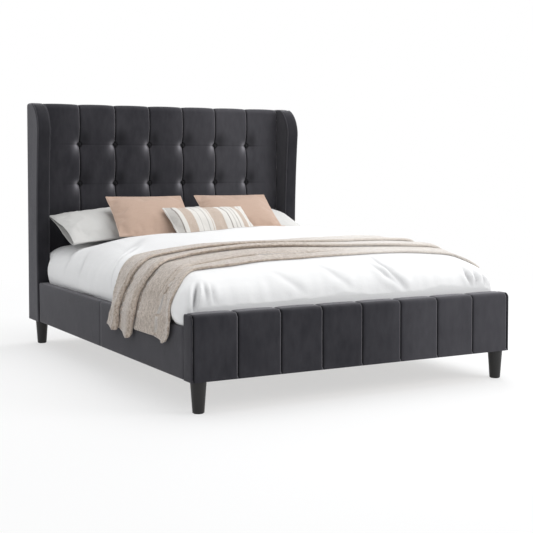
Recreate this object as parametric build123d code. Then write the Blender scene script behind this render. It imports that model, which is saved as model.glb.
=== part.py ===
from build123d import *
import math
import os

# An upholstered king-size bed, made up for the night.
# Millimetres, +Z up, origin on the floor under the middle of the bed. The footboard faces -Y.

# Mattress, and the gaps round it that set the size of the frame
mattress_width = 1494.0
mattress_length = 1980.0
mattress_height = 215.0
mattress_corner_radius = 60.0
mattress_top_radius = 75.0
mattress_foot_radius = 30.0
mattress_side_gap = 6.5
mattress_foot_gap = 16.0
mattress_head_gap = 4.0
mattress_sink = 58.0

# Frame
leg_height = 131.0
rail_height = 217.0
rail_thickness = 66.5
footboard_rise = 274.0
footboard_thickness = 84.0
headboard_rise = 1214.0
wing_thickness = 73.0

# Clearances
soft_clearance = 0.3
layer_clearance = 0.7
board_gap = 0.8
screw_clearance = 0.15
running_clearance = 0.3
overrun = 2.0

# Headboard layers, from the front face to the back
headboard_pad = 30.0
face_board = 6.0
headboard_timber = 25.0
back_cover = 3.0
headboard_channels = 7
headboard_relief = 10.0
headboard_top_relief = 6.0
headboard_top_pad = 14.0
headboard_top_radius = 30.0
headboard_member = 60.0
headboard_uprights = 3
lower_cover = 4.0

# Buttons and the tufts that they pull in
button_radius = 12.0
button_height = 7.0
tuft_depth = 8.0
tuft_radius = 58.0
tuft_rows = 3
tuft_first_row = 229.0
tuft_row_pitch = 223.5

# Wings: how far the front edge stands out before the headboard's face, and at what heights
wing_reach_foot = 114.0
wing_reach_waist = 102.0
wing_reach_shoulder = 135.0
wing_waist_rise = 420.0
wing_shoulder_drop = 160.0
wing_top_set_back = 14.0
wing_pad = 14.0
wing_edge_radius = 16.0

# Footboard layers
footboard_channels = 8
footboard_pad = 30.0
footboard_relief = 7.0
footboard_top_relief = 5.0
footboard_top_pad = 22.0
footboard_end_pad = 12.0
footboard_end_radius = 10.0
footboard_top_radius = 22.0
footboard_member = 55.0
footboard_uprights = 2

# Side rails
rail_foam = 14.0
rail_top_pad = 10.0
rail_lining = 3.0
rail_edge_radius = 7.0

# Legs
leg_top_radius = 34.0
leg_toe_radius = 24.5
leg_inset = 49.0
head_leg_set_in = 83.0
glide_radius = 20.0
glide_height = 3.0

# Plates, brackets and bolts
plate_thickness = 4.0
plate_width = 80.0
plate_length = 180.0
plate_drop = 118.0
bracket_reach = 90.0
bolt_radius = 4.0
bolt_length = 30.0
bolt_head_radius = 7.5
bolt_head_height = 5.0
bolt_inset = 22.0
bolt_pitch = 38.0
hanger_bolt_in_leg = 28.0
hanger_bolt_in_frame = 40.0

# Slat base
slat_count = 12
slat_width = 90.0
slat_thickness = 18.0
slat_end_gap = 4.0
slat_end_margin = 40.0
slat_edge = 2.0
ledge_width = 25.0
ledge_height = 35.0
strap_width = 30.0
strap_thickness = 1.5
strap_place = 380.0
beam_width = 40.0
beam_height = 50.0
beam_wall = 1.5
sleeve_length = 160.0
hanger_width = 110.0
hanger_cheek = 3.0
hanger_depth = 45.0
centre_leg_radius = 19.0
centre_leg_plate = 4.0
centre_leg_plate_length = 80.0
centre_leg_place_shares = (0.34, 0.67)
foot_pad_radius = 21.0
foot_pad_height = 12.0
foot_stem_radius = 5.0
foot_stem_length = 40.0

# Duvet: how high it stands over the rails, and its outline from the foot end to the head end
duvet_loft = 282.0
duvet_side_bulge = 36.0
duvet_hem_reach = 22.0
duvet_corner_bulge = 48.0
duvet_place_shares = (0.0, 0.007, 0.016, 0.034, 0.079, 0.15, 0.25, 0.38, 0.53, 0.68, 0.83, 0.92, 0.97, 1.0)
duvet_height_shares = (0.28, 0.45, 0.56, 0.665, 0.775, 0.86, 0.925, 0.965, 0.985, 0.995, 1.0, 0.985, 0.93, 0.8)
duvet_left_fall_shares = (0.03, 0.035, 0.04, 0.05, 0.09, 0.125, 0.17, 0.21, 0.24, 0.26, 0.27, 0.265, 0.25, 0.21)
duvet_corner_shares = (0.45, 0.75, 0.95, 1.0, 0.5, 0.1, 0.0, 0.0, 0.0, 0.0, 0.0, 0.0, 0.0, 0.0)
duvet_right_fall_shares = (0.02, 0.02, 0.025, 0.04, 0.07, 0.06, 0.055, 0.09, 0.1, 0.085, 0.07, 0.06, 0.06, 0.06)
duvet_left_shoulder_share = 0.81
duvet_right_shoulder_share = 0.9
duvet_right_turn_share = 0.8
duvet_widest_share = 0.29
quarter_share = 0.71

# Throw: folded in pleats along its length and laid across the foot end
throw_pleats = 6
throw_thickness = 10.0
throw_crest = 16.0
throw_hang_crest = 18.0
throw_depth = 14.0
throw_hang = 97.0

# Pillows and cushions
pillow_width = 720.0
pillow_height = 470.0
pillow_thickness = 140.0
pillow_lean_angle = 70.0
pillow_top_gap = 34.0
pillow_middle_gap = 50.0
cushion_width = 465.0
cushion_height = 430.0
cushion_thickness = 105.0
cushion_lean_angle = 63.0
cushion_set_back = 664.0
cushion_middle_gap = 84.0
lumbar_width = 500.0
lumbar_height = 285.0
lumbar_thickness = 88.0
lumbar_lean_angle = 58.0
lumbar_set_back = 772.0
cushion_place_shares = (-0.5, -0.43, -0.28, 0.0, 0.28, 0.43, 0.5)
cushion_swell_shares = (0.05, 0.5, 0.86, 1.0, 0.86, 0.5, 0.05)
cushion_height_shares = (1.0, 0.985, 0.965, 0.955, 0.965, 0.985, 1.0)
cushion_draw_share = 0.03
cushion_sink = 6.0

# Places that follow from the sizes above
well_width = mattress_width + 2 * mattress_side_gap
well_length = mattress_length + mattress_foot_gap + mattress_head_gap
headboard_thickness = headboard_pad + face_board + headboard_timber + back_cover
overall_length = footboard_thickness + well_length + headboard_thickness
foot_face_y = -overall_length / 2
foot_back_y = foot_face_y + footboard_thickness
head_face_y = foot_back_y + well_length
head_back_y = head_face_y + headboard_thickness
face_board_y = head_face_y + headboard_pad
head_wall_y = face_board_y - lower_cover
well_x = well_width / 2
rail_x = well_x + rail_thickness
wing_x = well_x + wing_thickness
rail_top_z = leg_height + rail_height
footboard_top_z = leg_height + footboard_rise
headboard_top_z = leg_height + headboard_rise
slat_top_z = rail_top_z - mattress_sink
slat_bottom_z = slat_top_z - slat_thickness
beam_bottom_z = slat_bottom_z - beam_height
mattress_foot_y = foot_back_y + mattress_foot_gap
mattress_bottom_z = slat_top_z + soft_clearance
rail_mid_y = (foot_back_y + head_face_y - wing_reach_foot) / 2
foot_leg_place = (rail_x - leg_inset, foot_face_y + footboard_thickness / 2)
head_leg_place = (wing_x - leg_inset, head_back_y - head_leg_set_in)
plate_z = rail_top_z - plate_drop - plate_width / 2
duvet_foot_y = foot_back_y + soft_clearance
duvet_length = well_length - 2 * soft_clearance
duvet_hem_z = rail_top_z + soft_clearance
duvet_left_shoulder_x = well_x * duvet_left_shoulder_share + duvet_side_bulge
duvet_right_shoulder_x = well_x * duvet_right_shoulder_share + duvet_side_bulge


# Plain shapes

RIGHT_ANGLE = 90


def block(low, high):
    """A box between two opposite corners."""
    size = [b - a for a, b in zip(low, high)]
    return Pos(*low) * Box(*size, align=(Align.MIN, Align.MIN, Align.MIN))


def prism(edges, along):
    """The closed outline of the edges, pushed out along a vector."""
    outline = Face(Wire(edges))
    return extrude(outline, amount=along.length, dir=along.normalized())


def closed_run(points):
    """Straight edges through the points, in order, not closed."""
    return [Line(a, b) for a, b in zip(points, points[1:])]


def bored(solid, holes):
    """The solid with every hole of a list cut from it."""
    for hole in holes:
        solid = solid - hole
    return solid


def ladder(low, high, member, uprights):
    """A flat timber frame: two long rails, and stiles and uprights between them."""
    bottom = block(low, (high[0], high[1], low[2] + member))
    top = block((low[0], low[1], high[2] - member), high)
    pitch = (high[0] - low[0] - member) / (uprights + 1)
    posts = []
    for i in range(uprights + 2):
        x = low[0] + i * pitch
        posts.append(block((x, low[1], low[2] + member), (x + member, high[1], high[2] - member)))
    return [bottom, top] + posts


def channel_arcs(point, low, high, count, crown, seam):
    """A row of shallow arcs from low to high, which meet in seams. point makes a place of two numbers."""
    pitch = (high - low) / count
    arcs = []
    for i in range(count):
        start = low + i * pitch
        arcs.append(ThreePointArc(point(start, seam), point(start + pitch / 2, crown), point(start + pitch, seam)))
    return arcs


# Bolts: each is a place on a face, with the way that it goes in


def turned(solid, place, way):
    """A solid made along +Z, laid along another way at a place."""
    return Plane(origin=place, z_dir=way) * solid


def bolt(place, way):
    """A hexagon bolt whose head lies on the face, with its shank going in."""
    shank = Cylinder(bolt_radius, bolt_length, align=(Align.CENTER, Align.CENTER, Align.MIN))
    head = extrude(RegularPolygon(bolt_head_radius, 6), amount=-bolt_head_height)
    return turned(shank + head, place, way)


def bolt_hole(place, way):
    """The hole for a bolt's shank."""
    radius = bolt_radius + screw_clearance
    deep = bolt_length + screw_clearance
    hole = Cylinder(radius, deep, align=(Align.CENTER, Align.CENTER, Align.MIN))
    return turned(hole, place, way)


def plate_bolts(side, middle_y):
    """The places of a straight plate's bolts, on the inner face of one side of the bed."""
    face = side * (well_x - plate_thickness)
    first = plate_length / 2 - bolt_inset
    offsets = (-first, -first + bolt_pitch, first - bolt_pitch, first)
    return [((face, middle_y + offset, plate_z), (side, 0, 0)) for offset in offsets]


def bracket_bolts(side):
    """The places of the bolts of the angle bracket at a foot corner."""
    rail_face = side * (well_x - plate_thickness)
    board_face = foot_back_y + plate_thickness
    spots = []
    for reach in (bracket_reach - bolt_inset, bracket_reach - bolt_inset - bolt_pitch):
        spots.append(((rail_face, foot_back_y + reach, plate_z), (side, 0, 0)))
        spots.append(((side * (well_x - reach), board_face, plate_z), (0, -1, 0)))
    return spots


def hanger_bolts(wall_y, inward):
    """The places of the two bolts of a beam hanger."""
    face = wall_y + inward * plate_thickness
    reach = hanger_width / 2 - bolt_inset / 2
    height = slat_bottom_z - beam_height / 2
    return [((side * reach, face, height), (0, -inward, 0)) for side in (-1, 1)]


def hanger_bolt(place):
    """The double-ended bolt that holds a leg up to the frame."""
    low = leg_height - hanger_bolt_in_leg
    high = leg_height + hanger_bolt_in_frame
    return Pos(*place, low) * Cylinder(bolt_radius, high - low, align=(Align.CENTER, Align.CENTER, Align.MIN))


def hanger_bolt_hole(place):
    """The hole for a leg's bolt, through the leg's top and the frame."""
    low = leg_height - hanger_bolt_in_leg - screw_clearance
    high = leg_height + hanger_bolt_in_frame + screw_clearance
    radius = bolt_radius + screw_clearance
    return Pos(*place, low) * Cylinder(radius, high - low, align=(Align.CENTER, Align.CENTER, Align.MIN))


wing_joint_y = head_face_y - wing_reach_foot
side_bolts = {}
for side in (-1, 1):
    side_bolts[side] = plate_bolts(side, rail_mid_y) + plate_bolts(side, wing_joint_y) + bracket_bolts(side)
foot_hanger_bolts = hanger_bolts(foot_back_y, 1)
head_hanger_bolts = hanger_bolts(head_wall_y, -1)
leg_places = [(side * place[0], place[1]) for place in (foot_leg_place, head_leg_place) for side in (-1, 1)]
all_bolts = side_bolts[-1] + side_bolts[1] + foot_hanger_bolts + head_hanger_bolts


def holes_near(spots, low_y, high_y):
    """The holes of those bolts that stand between two places along the bed."""
    return [bolt_hole(*spot) for spot in spots if low_y < spot[0][1] < high_y]


# Headboard


def pad_of_channels(half_width, count, face_y, back_y, relief, top_z, top_relief, section, end_radius):
    """A padded board with sewn channels on its face and over its top edge, inside a side-on section."""

    def flat(x, y):
        return (x, y, leg_height)

    def upright(x, z):
        return (x, face_y - overrun, z)

    seam_y = face_y + relief
    seam_z = top_z - top_relief
    inner = half_width - end_radius
    plan = channel_arcs(flat, -inner, inner, count, face_y, seam_y)
    front = channel_arcs(upright, -inner, inner, count, top_z, seam_z)
    if end_radius > 0:
        plan += rounded_ends(flat, half_width, inner, seam_y, end_radius)
        front += rounded_ends(upright, half_width, inner, seam_z, -end_radius)
        plan_side = seam_y + end_radius
        front_side = seam_z - end_radius
    else:
        plan_side = seam_y
        front_side = seam_z
    plan += closed_run([flat(half_width, plan_side), flat(half_width, back_y), flat(-half_width, back_y),
                        flat(-half_width, plan_side)])
    front += closed_run([upright(half_width, front_side), upright(half_width, leg_height),
                         upright(-half_width, leg_height), upright(-half_width, front_side)])
    body = prism(plan, Vector(0, 0, top_z + overrun - leg_height))
    body = body & prism(front, Vector(0, back_y - face_y + 2 * overrun, 0))
    return body & prism(section, Vector(2 * half_width + 2 * overrun, 0, 0))


def rounded_ends(point, half_width, inner, seam, drop):
    """The two quarter arcs between a row of channels and the plain ends."""
    bow = abs(drop) * (1 - quarter_share)
    step = math.copysign(bow, drop)
    return [
        ThreePointArc(point(inner, seam), point(half_width - bow, seam + step), point(half_width, seam + drop)),
        ThreePointArc(point(-inner, seam), point(bow - half_width, seam + step), point(-half_width, seam + drop)),
    ]


def headboard_section():
    """The pad side on: thick over the face, thin below the mattress, and back over the top edge."""
    x = -well_x - overrun
    front = head_face_y - overrun
    top = headboard_top_z + overrun
    under = headboard_top_z - headboard_top_pad
    bow = headboard_top_radius * (1 - quarter_share)
    round_start = (x, front, top - headboard_top_radius)
    round_end = (x, front + headboard_top_radius, top)
    corner = ThreePointArc(round_start, (x, front + bow, top - bow), round_end)
    rest = closed_run([
        round_end,
        (x, head_back_y, top),
        (x, head_back_y, under),
        (x, face_board_y, under),
        (x, face_board_y, leg_height),
        (x, head_wall_y, leg_height),
        (x, head_wall_y, slat_top_z),
        (x, front, slat_top_z),
        round_start,
    ])
    return [corner] + rest


def tuft_places():
    """Where the buttons are: on every inner seam, in rows down from the top edge."""
    pitch = well_width / headboard_channels
    places = []
    for row in range(tuft_rows):
        z = headboard_top_z - tuft_first_row - row * tuft_row_pitch
        for seam in range(1, headboard_channels):
            places.append((seam * pitch - well_x, z))
    return places


tuft_floor_y = head_face_y + headboard_relief + tuft_depth


def tuft():
    """The hollow that a button pulls into the pad, round a flat floor."""
    deep = tuft_floor_y - head_face_y + overrun
    floor = button_radius + overrun
    wall = ThreePointArc((floor, 0), (floor + (tuft_radius - floor) / 3, -deep * quarter_share), (tuft_radius, -deep))
    lines = closed_run([(tuft_radius, -deep), (0, -deep), (0, 0), (floor, 0)])
    return revolve(Face(Wire([wall] + lines)), axis=Axis.Y)


def headboard_pad_node():
    """Foam and velvet in seven channels, drawn in under each button."""
    pad = pad_of_channels(well_x, headboard_channels, head_face_y, head_back_y, headboard_relief,
                          headboard_top_z, headboard_top_relief, headboard_section(), 0)
    for x, z in tuft_places():
        pad = pad - Pos(x, tuft_floor_y, z) * tuft()
    return bored(pad, [bolt_hole(*spot) for spot in head_hanger_bolts])


def headboard_buttons_node():
    """Covered buttons, domed in front and flat where they lie on the pad."""
    dome_radius = (button_radius**2 + button_height**2) / (2 * button_height)
    button = Cylinder(button_radius, button_height, align=(Align.CENTER, Align.CENTER, Align.MIN))
    button = button & Pos(0, 0, button_height - dome_radius) * Sphere(dome_radius)
    return [turned(button, (x, tuft_floor_y, z), (0, -1, 0)) for x, z in tuft_places()]


def headboard_inner(front_y, back_y):
    """A flat layer of the headboard, as wide and high as the space inside the pad."""
    top = headboard_top_z - headboard_top_pad
    return (-well_x, front_y, leg_height), (well_x, back_y, top)


def headboard_face_board_node():
    """The board that the foam is glued to."""
    board = block(*headboard_inner(face_board_y, face_board_y + face_board))
    return bored(board, [bolt_hole(*spot) for spot in head_hanger_bolts])


def headboard_frame_node():
    """Timber ladder frame behind the face board."""
    low, high = headboard_inner(face_board_y + face_board, head_back_y - back_cover)
    members = ladder(low, high, headboard_member, headboard_uprights)
    holes = [bolt_hole(*spot) for spot in head_hanger_bolts]
    return [bored(member, holes) for member in members]


def headboard_back_cover_node():
    """Plain cover stapled over the back of the frame."""
    return block(*headboard_inner(head_back_y - back_cover, head_back_y))


# Wings


def wing_outline(inset, back_inset):
    """A wing side on, with its waisted front edge and its round top front corner."""
    waist_z = leg_height + wing_waist_rise
    shoulder_z = headboard_top_z - wing_shoulder_drop
    top_z = headboard_top_z - inset
    back_y = head_back_y - back_inset
    toe = (0, head_face_y - wing_reach_foot + inset, leg_height)
    waist = (0, head_face_y - wing_reach_waist + inset, waist_z)
    shoulder = (0, head_face_y - wing_reach_shoulder + inset, shoulder_z)
    crown = (0, head_face_y + wing_top_set_back + inset, top_z)
    edge = ThreePointArc(toe, waist, shoulder)
    corner = TangentArc(shoulder, crown, tangent=edge % 1)
    lines = closed_run([crown, (0, back_y, top_z), (0, back_y, leg_height), toe])
    return [edge, corner] + lines


def wing_form(inset, side_inset, back_inset):
    """The right-hand wing as a slab, less an inset all round."""
    slab = prism(wing_outline(inset, back_inset), Vector(wing_thickness - 2 * side_inset, 0, 0))
    return Pos(well_x + side_inset, 0, 0) * slab


def wing_core(side):
    """Timber inside a wing, open at the foot where the leg is fixed."""
    core = wing_form(wing_pad, wing_pad, back_cover)
    if side < 0:
        core = mirror(core, Plane.YZ)
    return core


def wing_cover(side):
    """Padded velvet cover of a wing, with soft front and top edges."""
    cover = wing_form(0, 0, 0)
    front = [e for e in cover.edges() if is_soft_edge(e)]
    cover = fillet(front, wing_edge_radius)
    if side < 0:
        cover = mirror(cover, Plane.YZ)
    return cover - wing_core(side)


def is_soft_edge(edge):
    """Whether an edge of the slab runs round its front or over its top."""
    middle = edge.position_at(0.5)
    along = abs((edge @ 1 - edge @ 0).X)
    ahead = middle.Y < head_back_y - overrun
    above = middle.Z > leg_height + overrun
    return along < overrun and ahead and above


def wing_frame_node(side):
    """The core with the holes for the plate's bolts and the leg's bolt."""
    holes = holes_near(side_bolts[side], wing_joint_y, head_face_y)
    leg = (side * head_leg_place[0], head_leg_place[1])
    return bored(wing_core(side), holes + [hanger_bolt_hole(leg)])


def wing_cover_node(side):
    """The cover with the holes for the plate's bolts."""
    return bored(wing_cover(side), holes_near(side_bolts[side], wing_joint_y, head_face_y))


# Footboard


def footboard_section():
    """The footboard side on, with a soft top front edge and a smaller radius behind."""
    x = -rail_x - overrun
    front = foot_face_y - overrun
    top = footboard_top_z + overrun
    big = footboard_top_radius
    small = footboard_top_radius / 2
    big_bow = big * (1 - quarter_share)
    small_bow = small * (1 - quarter_share)
    front_round = ThreePointArc((x, front, top - big), (x, front + big_bow, top - big_bow), (x, front + big, top))
    back_round = ThreePointArc((x, foot_back_y - small, top), (x, foot_back_y - small_bow, top - small_bow),
                               (x, foot_back_y, top - small))
    return [
        front_round,
        Line((x, front + big, top), (x, foot_back_y - small, top)),
        back_round,
    ] + closed_run([(x, foot_back_y, top - small), (x, foot_back_y, leg_height), (x, front, leg_height),
                    (x, front, top - big)])


def footboard_inner(front, back):
    """A flat layer of the footboard between two depths from its face."""
    half = rail_x - footboard_end_pad
    top = footboard_top_z - footboard_top_pad
    return (-half, foot_face_y + front, leg_height), (half, foot_face_y + back, top)


def footboard_pad_node():
    """Foam and velvet in eight channels, over the face, the top edge and the ends."""
    pad = pad_of_channels(rail_x, footboard_channels, foot_face_y, foot_back_y, footboard_relief,
                          footboard_top_z, footboard_top_relief, footboard_section(), footboard_end_radius)
    return pad - block(*footboard_inner(footboard_pad, footboard_thickness))


def footboard_back_spots():
    """The bolts that go into the footboard from behind."""
    corner = [spot for side in (-1, 1) for spot in side_bolts[side] if spot[1][1] < 0]
    return [bolt_hole(*spot) for spot in corner + foot_hanger_bolts]


def footboard_face_board_node():
    """The board that the footboard's foam is glued to."""
    return block(*footboard_inner(footboard_pad, footboard_pad + face_board))


def footboard_frame_node():
    """Timber ladder frame of the footboard, which takes the two foot legs."""
    low, high = footboard_inner(footboard_pad + face_board, footboard_thickness - back_cover)
    members = ladder(low, high, footboard_member, footboard_uprights)
    holes = footboard_back_spots() + [hanger_bolt_hole(place) for place in leg_places[:2]]
    return [bored(member, holes) for member in members]


def footboard_back_cover_node():
    """Plain cover of the footboard's back."""
    cover = block(*footboard_inner(footboard_thickness - back_cover, footboard_thickness))
    return bored(cover, footboard_back_spots())


# Side rails


def rail_span(half):
    """Where half a rail starts and ends along the bed."""
    if half == "foot":
        return foot_back_y + board_gap, rail_mid_y - board_gap / 2
    return rail_mid_y + board_gap / 2, head_face_y - wing_reach_waist


def rail_core(side, half):
    """The timber core of half a rail."""
    start, end = rail_span(half)
    inner = side * (well_x + rail_lining)
    outer = side * (rail_x - rail_foam)
    low = (min(inner, outer), start, leg_height + rail_lining)
    high = (max(inner, outer), end, rail_top_z - rail_top_pad)
    return block(low, high)


def clear_of_wing(solid):
    """The part of a solid that lies ahead of the wings' curved front edges, less the gap that the join shows."""
    edge = wing_outline(0, 0)[0]
    centre = edge.arc_center
    ahead = Cylinder(edge.radius - board_gap, 2 * (rail_x + overrun))
    return solid & Pos(0, centre.Y, centre.Z) * Rot(0, RIGHT_ANGLE, 0) * ahead


def rail_board_node(side, half):
    """Half a rail's core with its bolt holes."""
    core = rail_core(side, half)
    if half == "head":
        core = clear_of_wing(core)
    start, end = rail_span(half)
    return bored(core, holes_near(side_bolts[side], start, end))


def rail_cover_node(side, half):
    """Half a rail's velvet cover: foam outside and on top, lining within."""
    start, end = rail_span(half)
    cover = block((well_x, start, leg_height), (rail_x, end, rail_top_z))
    cover = fillet(cover.edges().filter_by(Axis.Y), rail_edge_radius)
    if side < 0:
        cover = mirror(cover, Plane.YZ)
    cover = cover - rail_core(side, half)
    if half == "head":
        cover = clear_of_wing(cover)
    return bored(cover, holes_near(side_bolts[side], start, end))


# Legs


def leg_node(place):
    """A round tapered leg with a bore in its top for the bolt."""
    leg = Cone(leg_toe_radius, leg_top_radius, leg_height - glide_height,
               align=(Align.CENTER, Align.CENTER, Align.MIN))
    return Pos(*place, glide_height) * leg - hanger_bolt_hole(place)


def leg_glides_node():
    """A round glide pressed on to the toe of each leg."""
    glide = Cylinder(glide_radius, glide_height, align=(Align.CENTER, Align.CENTER, Align.MIN))
    return [Pos(*place, 0) * glide for place in leg_places]


# Plates, brackets and bolts


def plates_node():
    """Straight steel plates across the mid joins of the rails and from the rails to the wings."""
    plates = []
    for side in (-1, 1):
        for middle in (rail_mid_y, wing_joint_y):
            near = side * well_x
            far = side * (well_x - plate_thickness)
            low = (min(near, far), middle - plate_length / 2, plate_z - plate_width / 2)
            high = (max(near, far), middle + plate_length / 2, plate_z + plate_width / 2)
            plates.append(bored(block(low, high), [bolt_hole(*spot) for spot in plate_bolts(side, middle)]))
    return plates


def brackets_node():
    """Steel angle brackets from the side rails to the footboard."""
    brackets = []
    for side in (-1, 1):
        low_z = plate_z - plate_width / 2
        high_z = plate_z + plate_width / 2
        xs = sorted((side * well_x, side * (well_x - plate_thickness)))
        along = block((xs[0], foot_back_y, low_z), (xs[1], foot_back_y + bracket_reach, high_z))
        xs = sorted((side * well_x, side * (well_x - bracket_reach)))
        across = block((xs[0], foot_back_y, low_z), (xs[1], foot_back_y + plate_thickness, high_z))
        brackets.append(bored(along + across, [bolt_hole(*spot) for spot in bracket_bolts(side)]))
    return brackets


def bolts_node():
    """Every bolt of the plates, brackets, hangers and legs."""
    return [bolt(*spot) for spot in all_bolts] + [hanger_bolt(place) for place in leg_places]


# Slat base


def ledge_node(side):
    """The batten on the inside of a rail that carries the slats' ends."""
    xs = sorted((side * well_x, side * (well_x - ledge_width)))
    return block((xs[0], foot_back_y + board_gap, slat_bottom_z - ledge_height),
                 (xs[1], head_face_y, slat_bottom_z))


def beam_span(half):
    """Where half the centre beam starts and ends along the bed."""
    middle = (foot_back_y + head_wall_y) / 2
    if half == "foot":
        return foot_back_y + plate_thickness, middle
    return middle, head_wall_y - plate_thickness


def box_section(low, high, wall):
    """A square tube along Y between two corners."""
    inner_low = (low[0] + wall, low[1], low[2] + wall)
    inner_high = (high[0] - wall, high[1], high[2] - wall)
    return block(low, high) - block(inner_low, inner_high)


def beam_node(half):
    """Half the steel beam that runs under the middle of the slats."""
    start, end = beam_span(half)
    return box_section((-beam_width / 2, start, beam_bottom_z), (beam_width / 2, end, slat_bottom_z), beam_wall)


def beam_sleeve_node():
    """The sleeve inside both halves of the beam, across their join."""
    middle = beam_span("foot")[1]
    inset = beam_wall + running_clearance
    low = (-beam_width / 2 + inset, middle - sleeve_length / 2, beam_bottom_z + beam_wall)
    high = (beam_width / 2 - inset, middle + sleeve_length / 2, slat_bottom_z - inset)
    return box_section(low, high, beam_wall)


def hanger(wall_y, inward, spots):
    """A steel cradle for one end of the beam, bolted to the wall behind it."""
    half = beam_width / 2 + running_clearance
    low_z = beam_bottom_z - hanger_cheek
    ys = sorted((wall_y, wall_y + inward * plate_thickness))
    plate = block((-hanger_width / 2, ys[0], low_z), (hanger_width / 2, ys[1], slat_bottom_z))
    ys = sorted((wall_y + inward * plate_thickness, wall_y + inward * (plate_thickness + hanger_depth)))
    cradle = block((-half - hanger_cheek, ys[0], low_z), (half + hanger_cheek, ys[1], slat_bottom_z - hanger_cheek))
    cradle = cradle - block((-half, ys[0], beam_bottom_z), (half, ys[1], slat_bottom_z))
    return bored(plate + cradle, [bolt_hole(*spot) for spot in spots])


def beam_hangers_node():
    """The cradles at the footboard and at the headboard."""
    return [hanger(foot_back_y, 1, foot_hanger_bolts), hanger(head_wall_y, -1, head_hanger_bolts)]


def centre_leg_y(share):
    """Where a centre leg stands along the bed."""
    return foot_back_y + well_length * share


def centre_leg_node(share):
    """A post under the beam, with a flange on top and a bore for its levelling foot."""
    base = foot_pad_height + running_clearance
    post = Cylinder(centre_leg_radius, beam_bottom_z - base, align=(Align.CENTER, Align.CENTER, Align.MIN))
    flange = block((-beam_width / 2, -centre_leg_plate_length / 2, beam_bottom_z - base - centre_leg_plate),
                   (beam_width / 2, centre_leg_plate_length / 2, beam_bottom_z - base))
    bore = Cylinder(foot_stem_radius + screw_clearance, foot_stem_length + overrun,
                    align=(Align.CENTER, Align.CENTER, Align.MIN))
    return Pos(0, centre_leg_y(share), base) * (post + flange - bore)


def centre_foot_node(share):
    """A levelling foot: a round pad on a threaded stem."""
    toe = foot_pad_radius * quarter_share
    pad = [(0, 0), (toe, 0), (foot_pad_radius, foot_pad_height - foot_stem_radius),
           (foot_pad_radius, foot_pad_height), (foot_stem_radius, foot_pad_height),
           (foot_stem_radius, foot_pad_height + foot_stem_length), (0, foot_pad_height + foot_stem_length), (0, 0)]
    outline = closed_run([(r, 0, z) for r, z in pad])
    return Pos(0, centre_leg_y(share), 0) * revolve(Face(Wire(outline)), axis=Axis.Z)


def slat_node(index):
    """One flat slat, from ledge to ledge."""
    run = well_length - 2 * slat_end_margin - slat_width
    middle = foot_back_y + slat_end_margin + slat_width / 2 + index * run / (slat_count - 1)
    half = well_x - slat_end_gap
    slat = block((-half, middle - slat_width / 2, slat_bottom_z), (half, middle + slat_width / 2, slat_top_z))
    return chamfer(slat.edges().filter_by(Axis.X), slat_edge)


def slat_straps_node():
    """Two webbing straps under the slats, which keep them apart."""
    straps = []
    for side in (-1, 1):
        middle = side * strap_place
        straps.append(block((middle - strap_width / 2, foot_back_y + slat_end_margin, slat_bottom_z - strap_thickness),
                            (middle + strap_width / 2, head_face_y - slat_end_margin, slat_bottom_z)))
    return straps


# Mattress


def mattress_form(grow):
    """The mattress with its round corners and soft edges, larger all round by a clearance."""
    half = mattress_width / 2 + grow
    low = (-half, mattress_foot_y - grow, mattress_bottom_z - grow)
    high = (half, mattress_foot_y + mattress_length + grow, mattress_bottom_z + mattress_height + grow)
    form = block(low, high)
    form = fillet(form.edges().filter_by(Axis.Z), mattress_corner_radius + grow)
    top = form.faces().sort_by(Axis.Z)[-1]
    form = fillet(top.edges(), mattress_top_radius + grow)
    bottom = form.faces().sort_by(Axis.Z)[0]
    return fillet(bottom.edges(), mattress_foot_radius + grow)


# Duvet


def between(shares, places, at):
    """The value at a place, straight between the two given places on either side of it."""
    for i in range(1, len(places)):
        if at <= places[i] or i == len(places) - 1:
            part = (at - places[i - 1]) / (places[i] - places[i - 1])
            part = min(max(part, 0.0), 1.0)
            return shares[i - 1] + part * (shares[i] - shares[i - 1])


def duvet_top(place):
    """How high the duvet's middle stands at a share of its length."""
    return rail_top_z + duvet_loft * between(duvet_height_shares, duvet_place_shares, place)


def duvet_fall(place, side):
    """How far the duvet falls from its middle to its shoulder on one side, at a share of its length."""
    shares = duvet_left_fall_shares if side < 0 else duvet_right_fall_shares
    return duvet_loft * between(shares, duvet_place_shares, place)


def duvet_shoulder_x(side):
    """How far out the duvet's shoulder is on one side."""
    return duvet_left_shoulder_x if side < 0 else duvet_right_shoulder_x


def duvet_shoulder_z(place, side):
    """How high the duvet's shoulder stands on one side, at a share of its length."""
    return duvet_top(place) - duvet_fall(place, side)


def duvet_bulge(place):
    """How much further the left-hand side swells out by the foot corner."""
    return duvet_corner_bulge * between(duvet_corner_shares, duvet_place_shares, place)


def duvet_side(place, side, grow):
    """The points down one side of the duvet: shoulder, turn, widest, waist and hem."""
    extra = duvet_bulge(place) if side < 0 else 0.0
    shoulder_x = duvet_shoulder_x(side)
    shoulder_z = duvet_shoulder_z(place, side)
    turn_share = quarter_share if side < 0 else duvet_right_turn_share
    widest_z = rail_top_z + duvet_widest_share * (shoulder_z - rail_top_z)
    widest = well_x + duvet_side_bulge + extra + grow
    hem = well_x + duvet_hem_reach + extra * quarter_share + grow
    turn_x = shoulder_x + quarter_share * (widest - shoulder_x)
    turn_z = shoulder_z - (1 - turn_share) * (shoulder_z - widest_z)
    waist = widest - (widest - hem) * (1 - quarter_share)
    return {
        "shoulder": (side * shoulder_x, shoulder_z + grow),
        "turn": (side * turn_x, turn_z + grow),
        "widest": (side * widest, widest_z),
        "waist": (side * waist, (widest_z + rail_top_z) / 2),
        "hem": (side * hem, duvet_hem_z - grow),
    }


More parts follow.
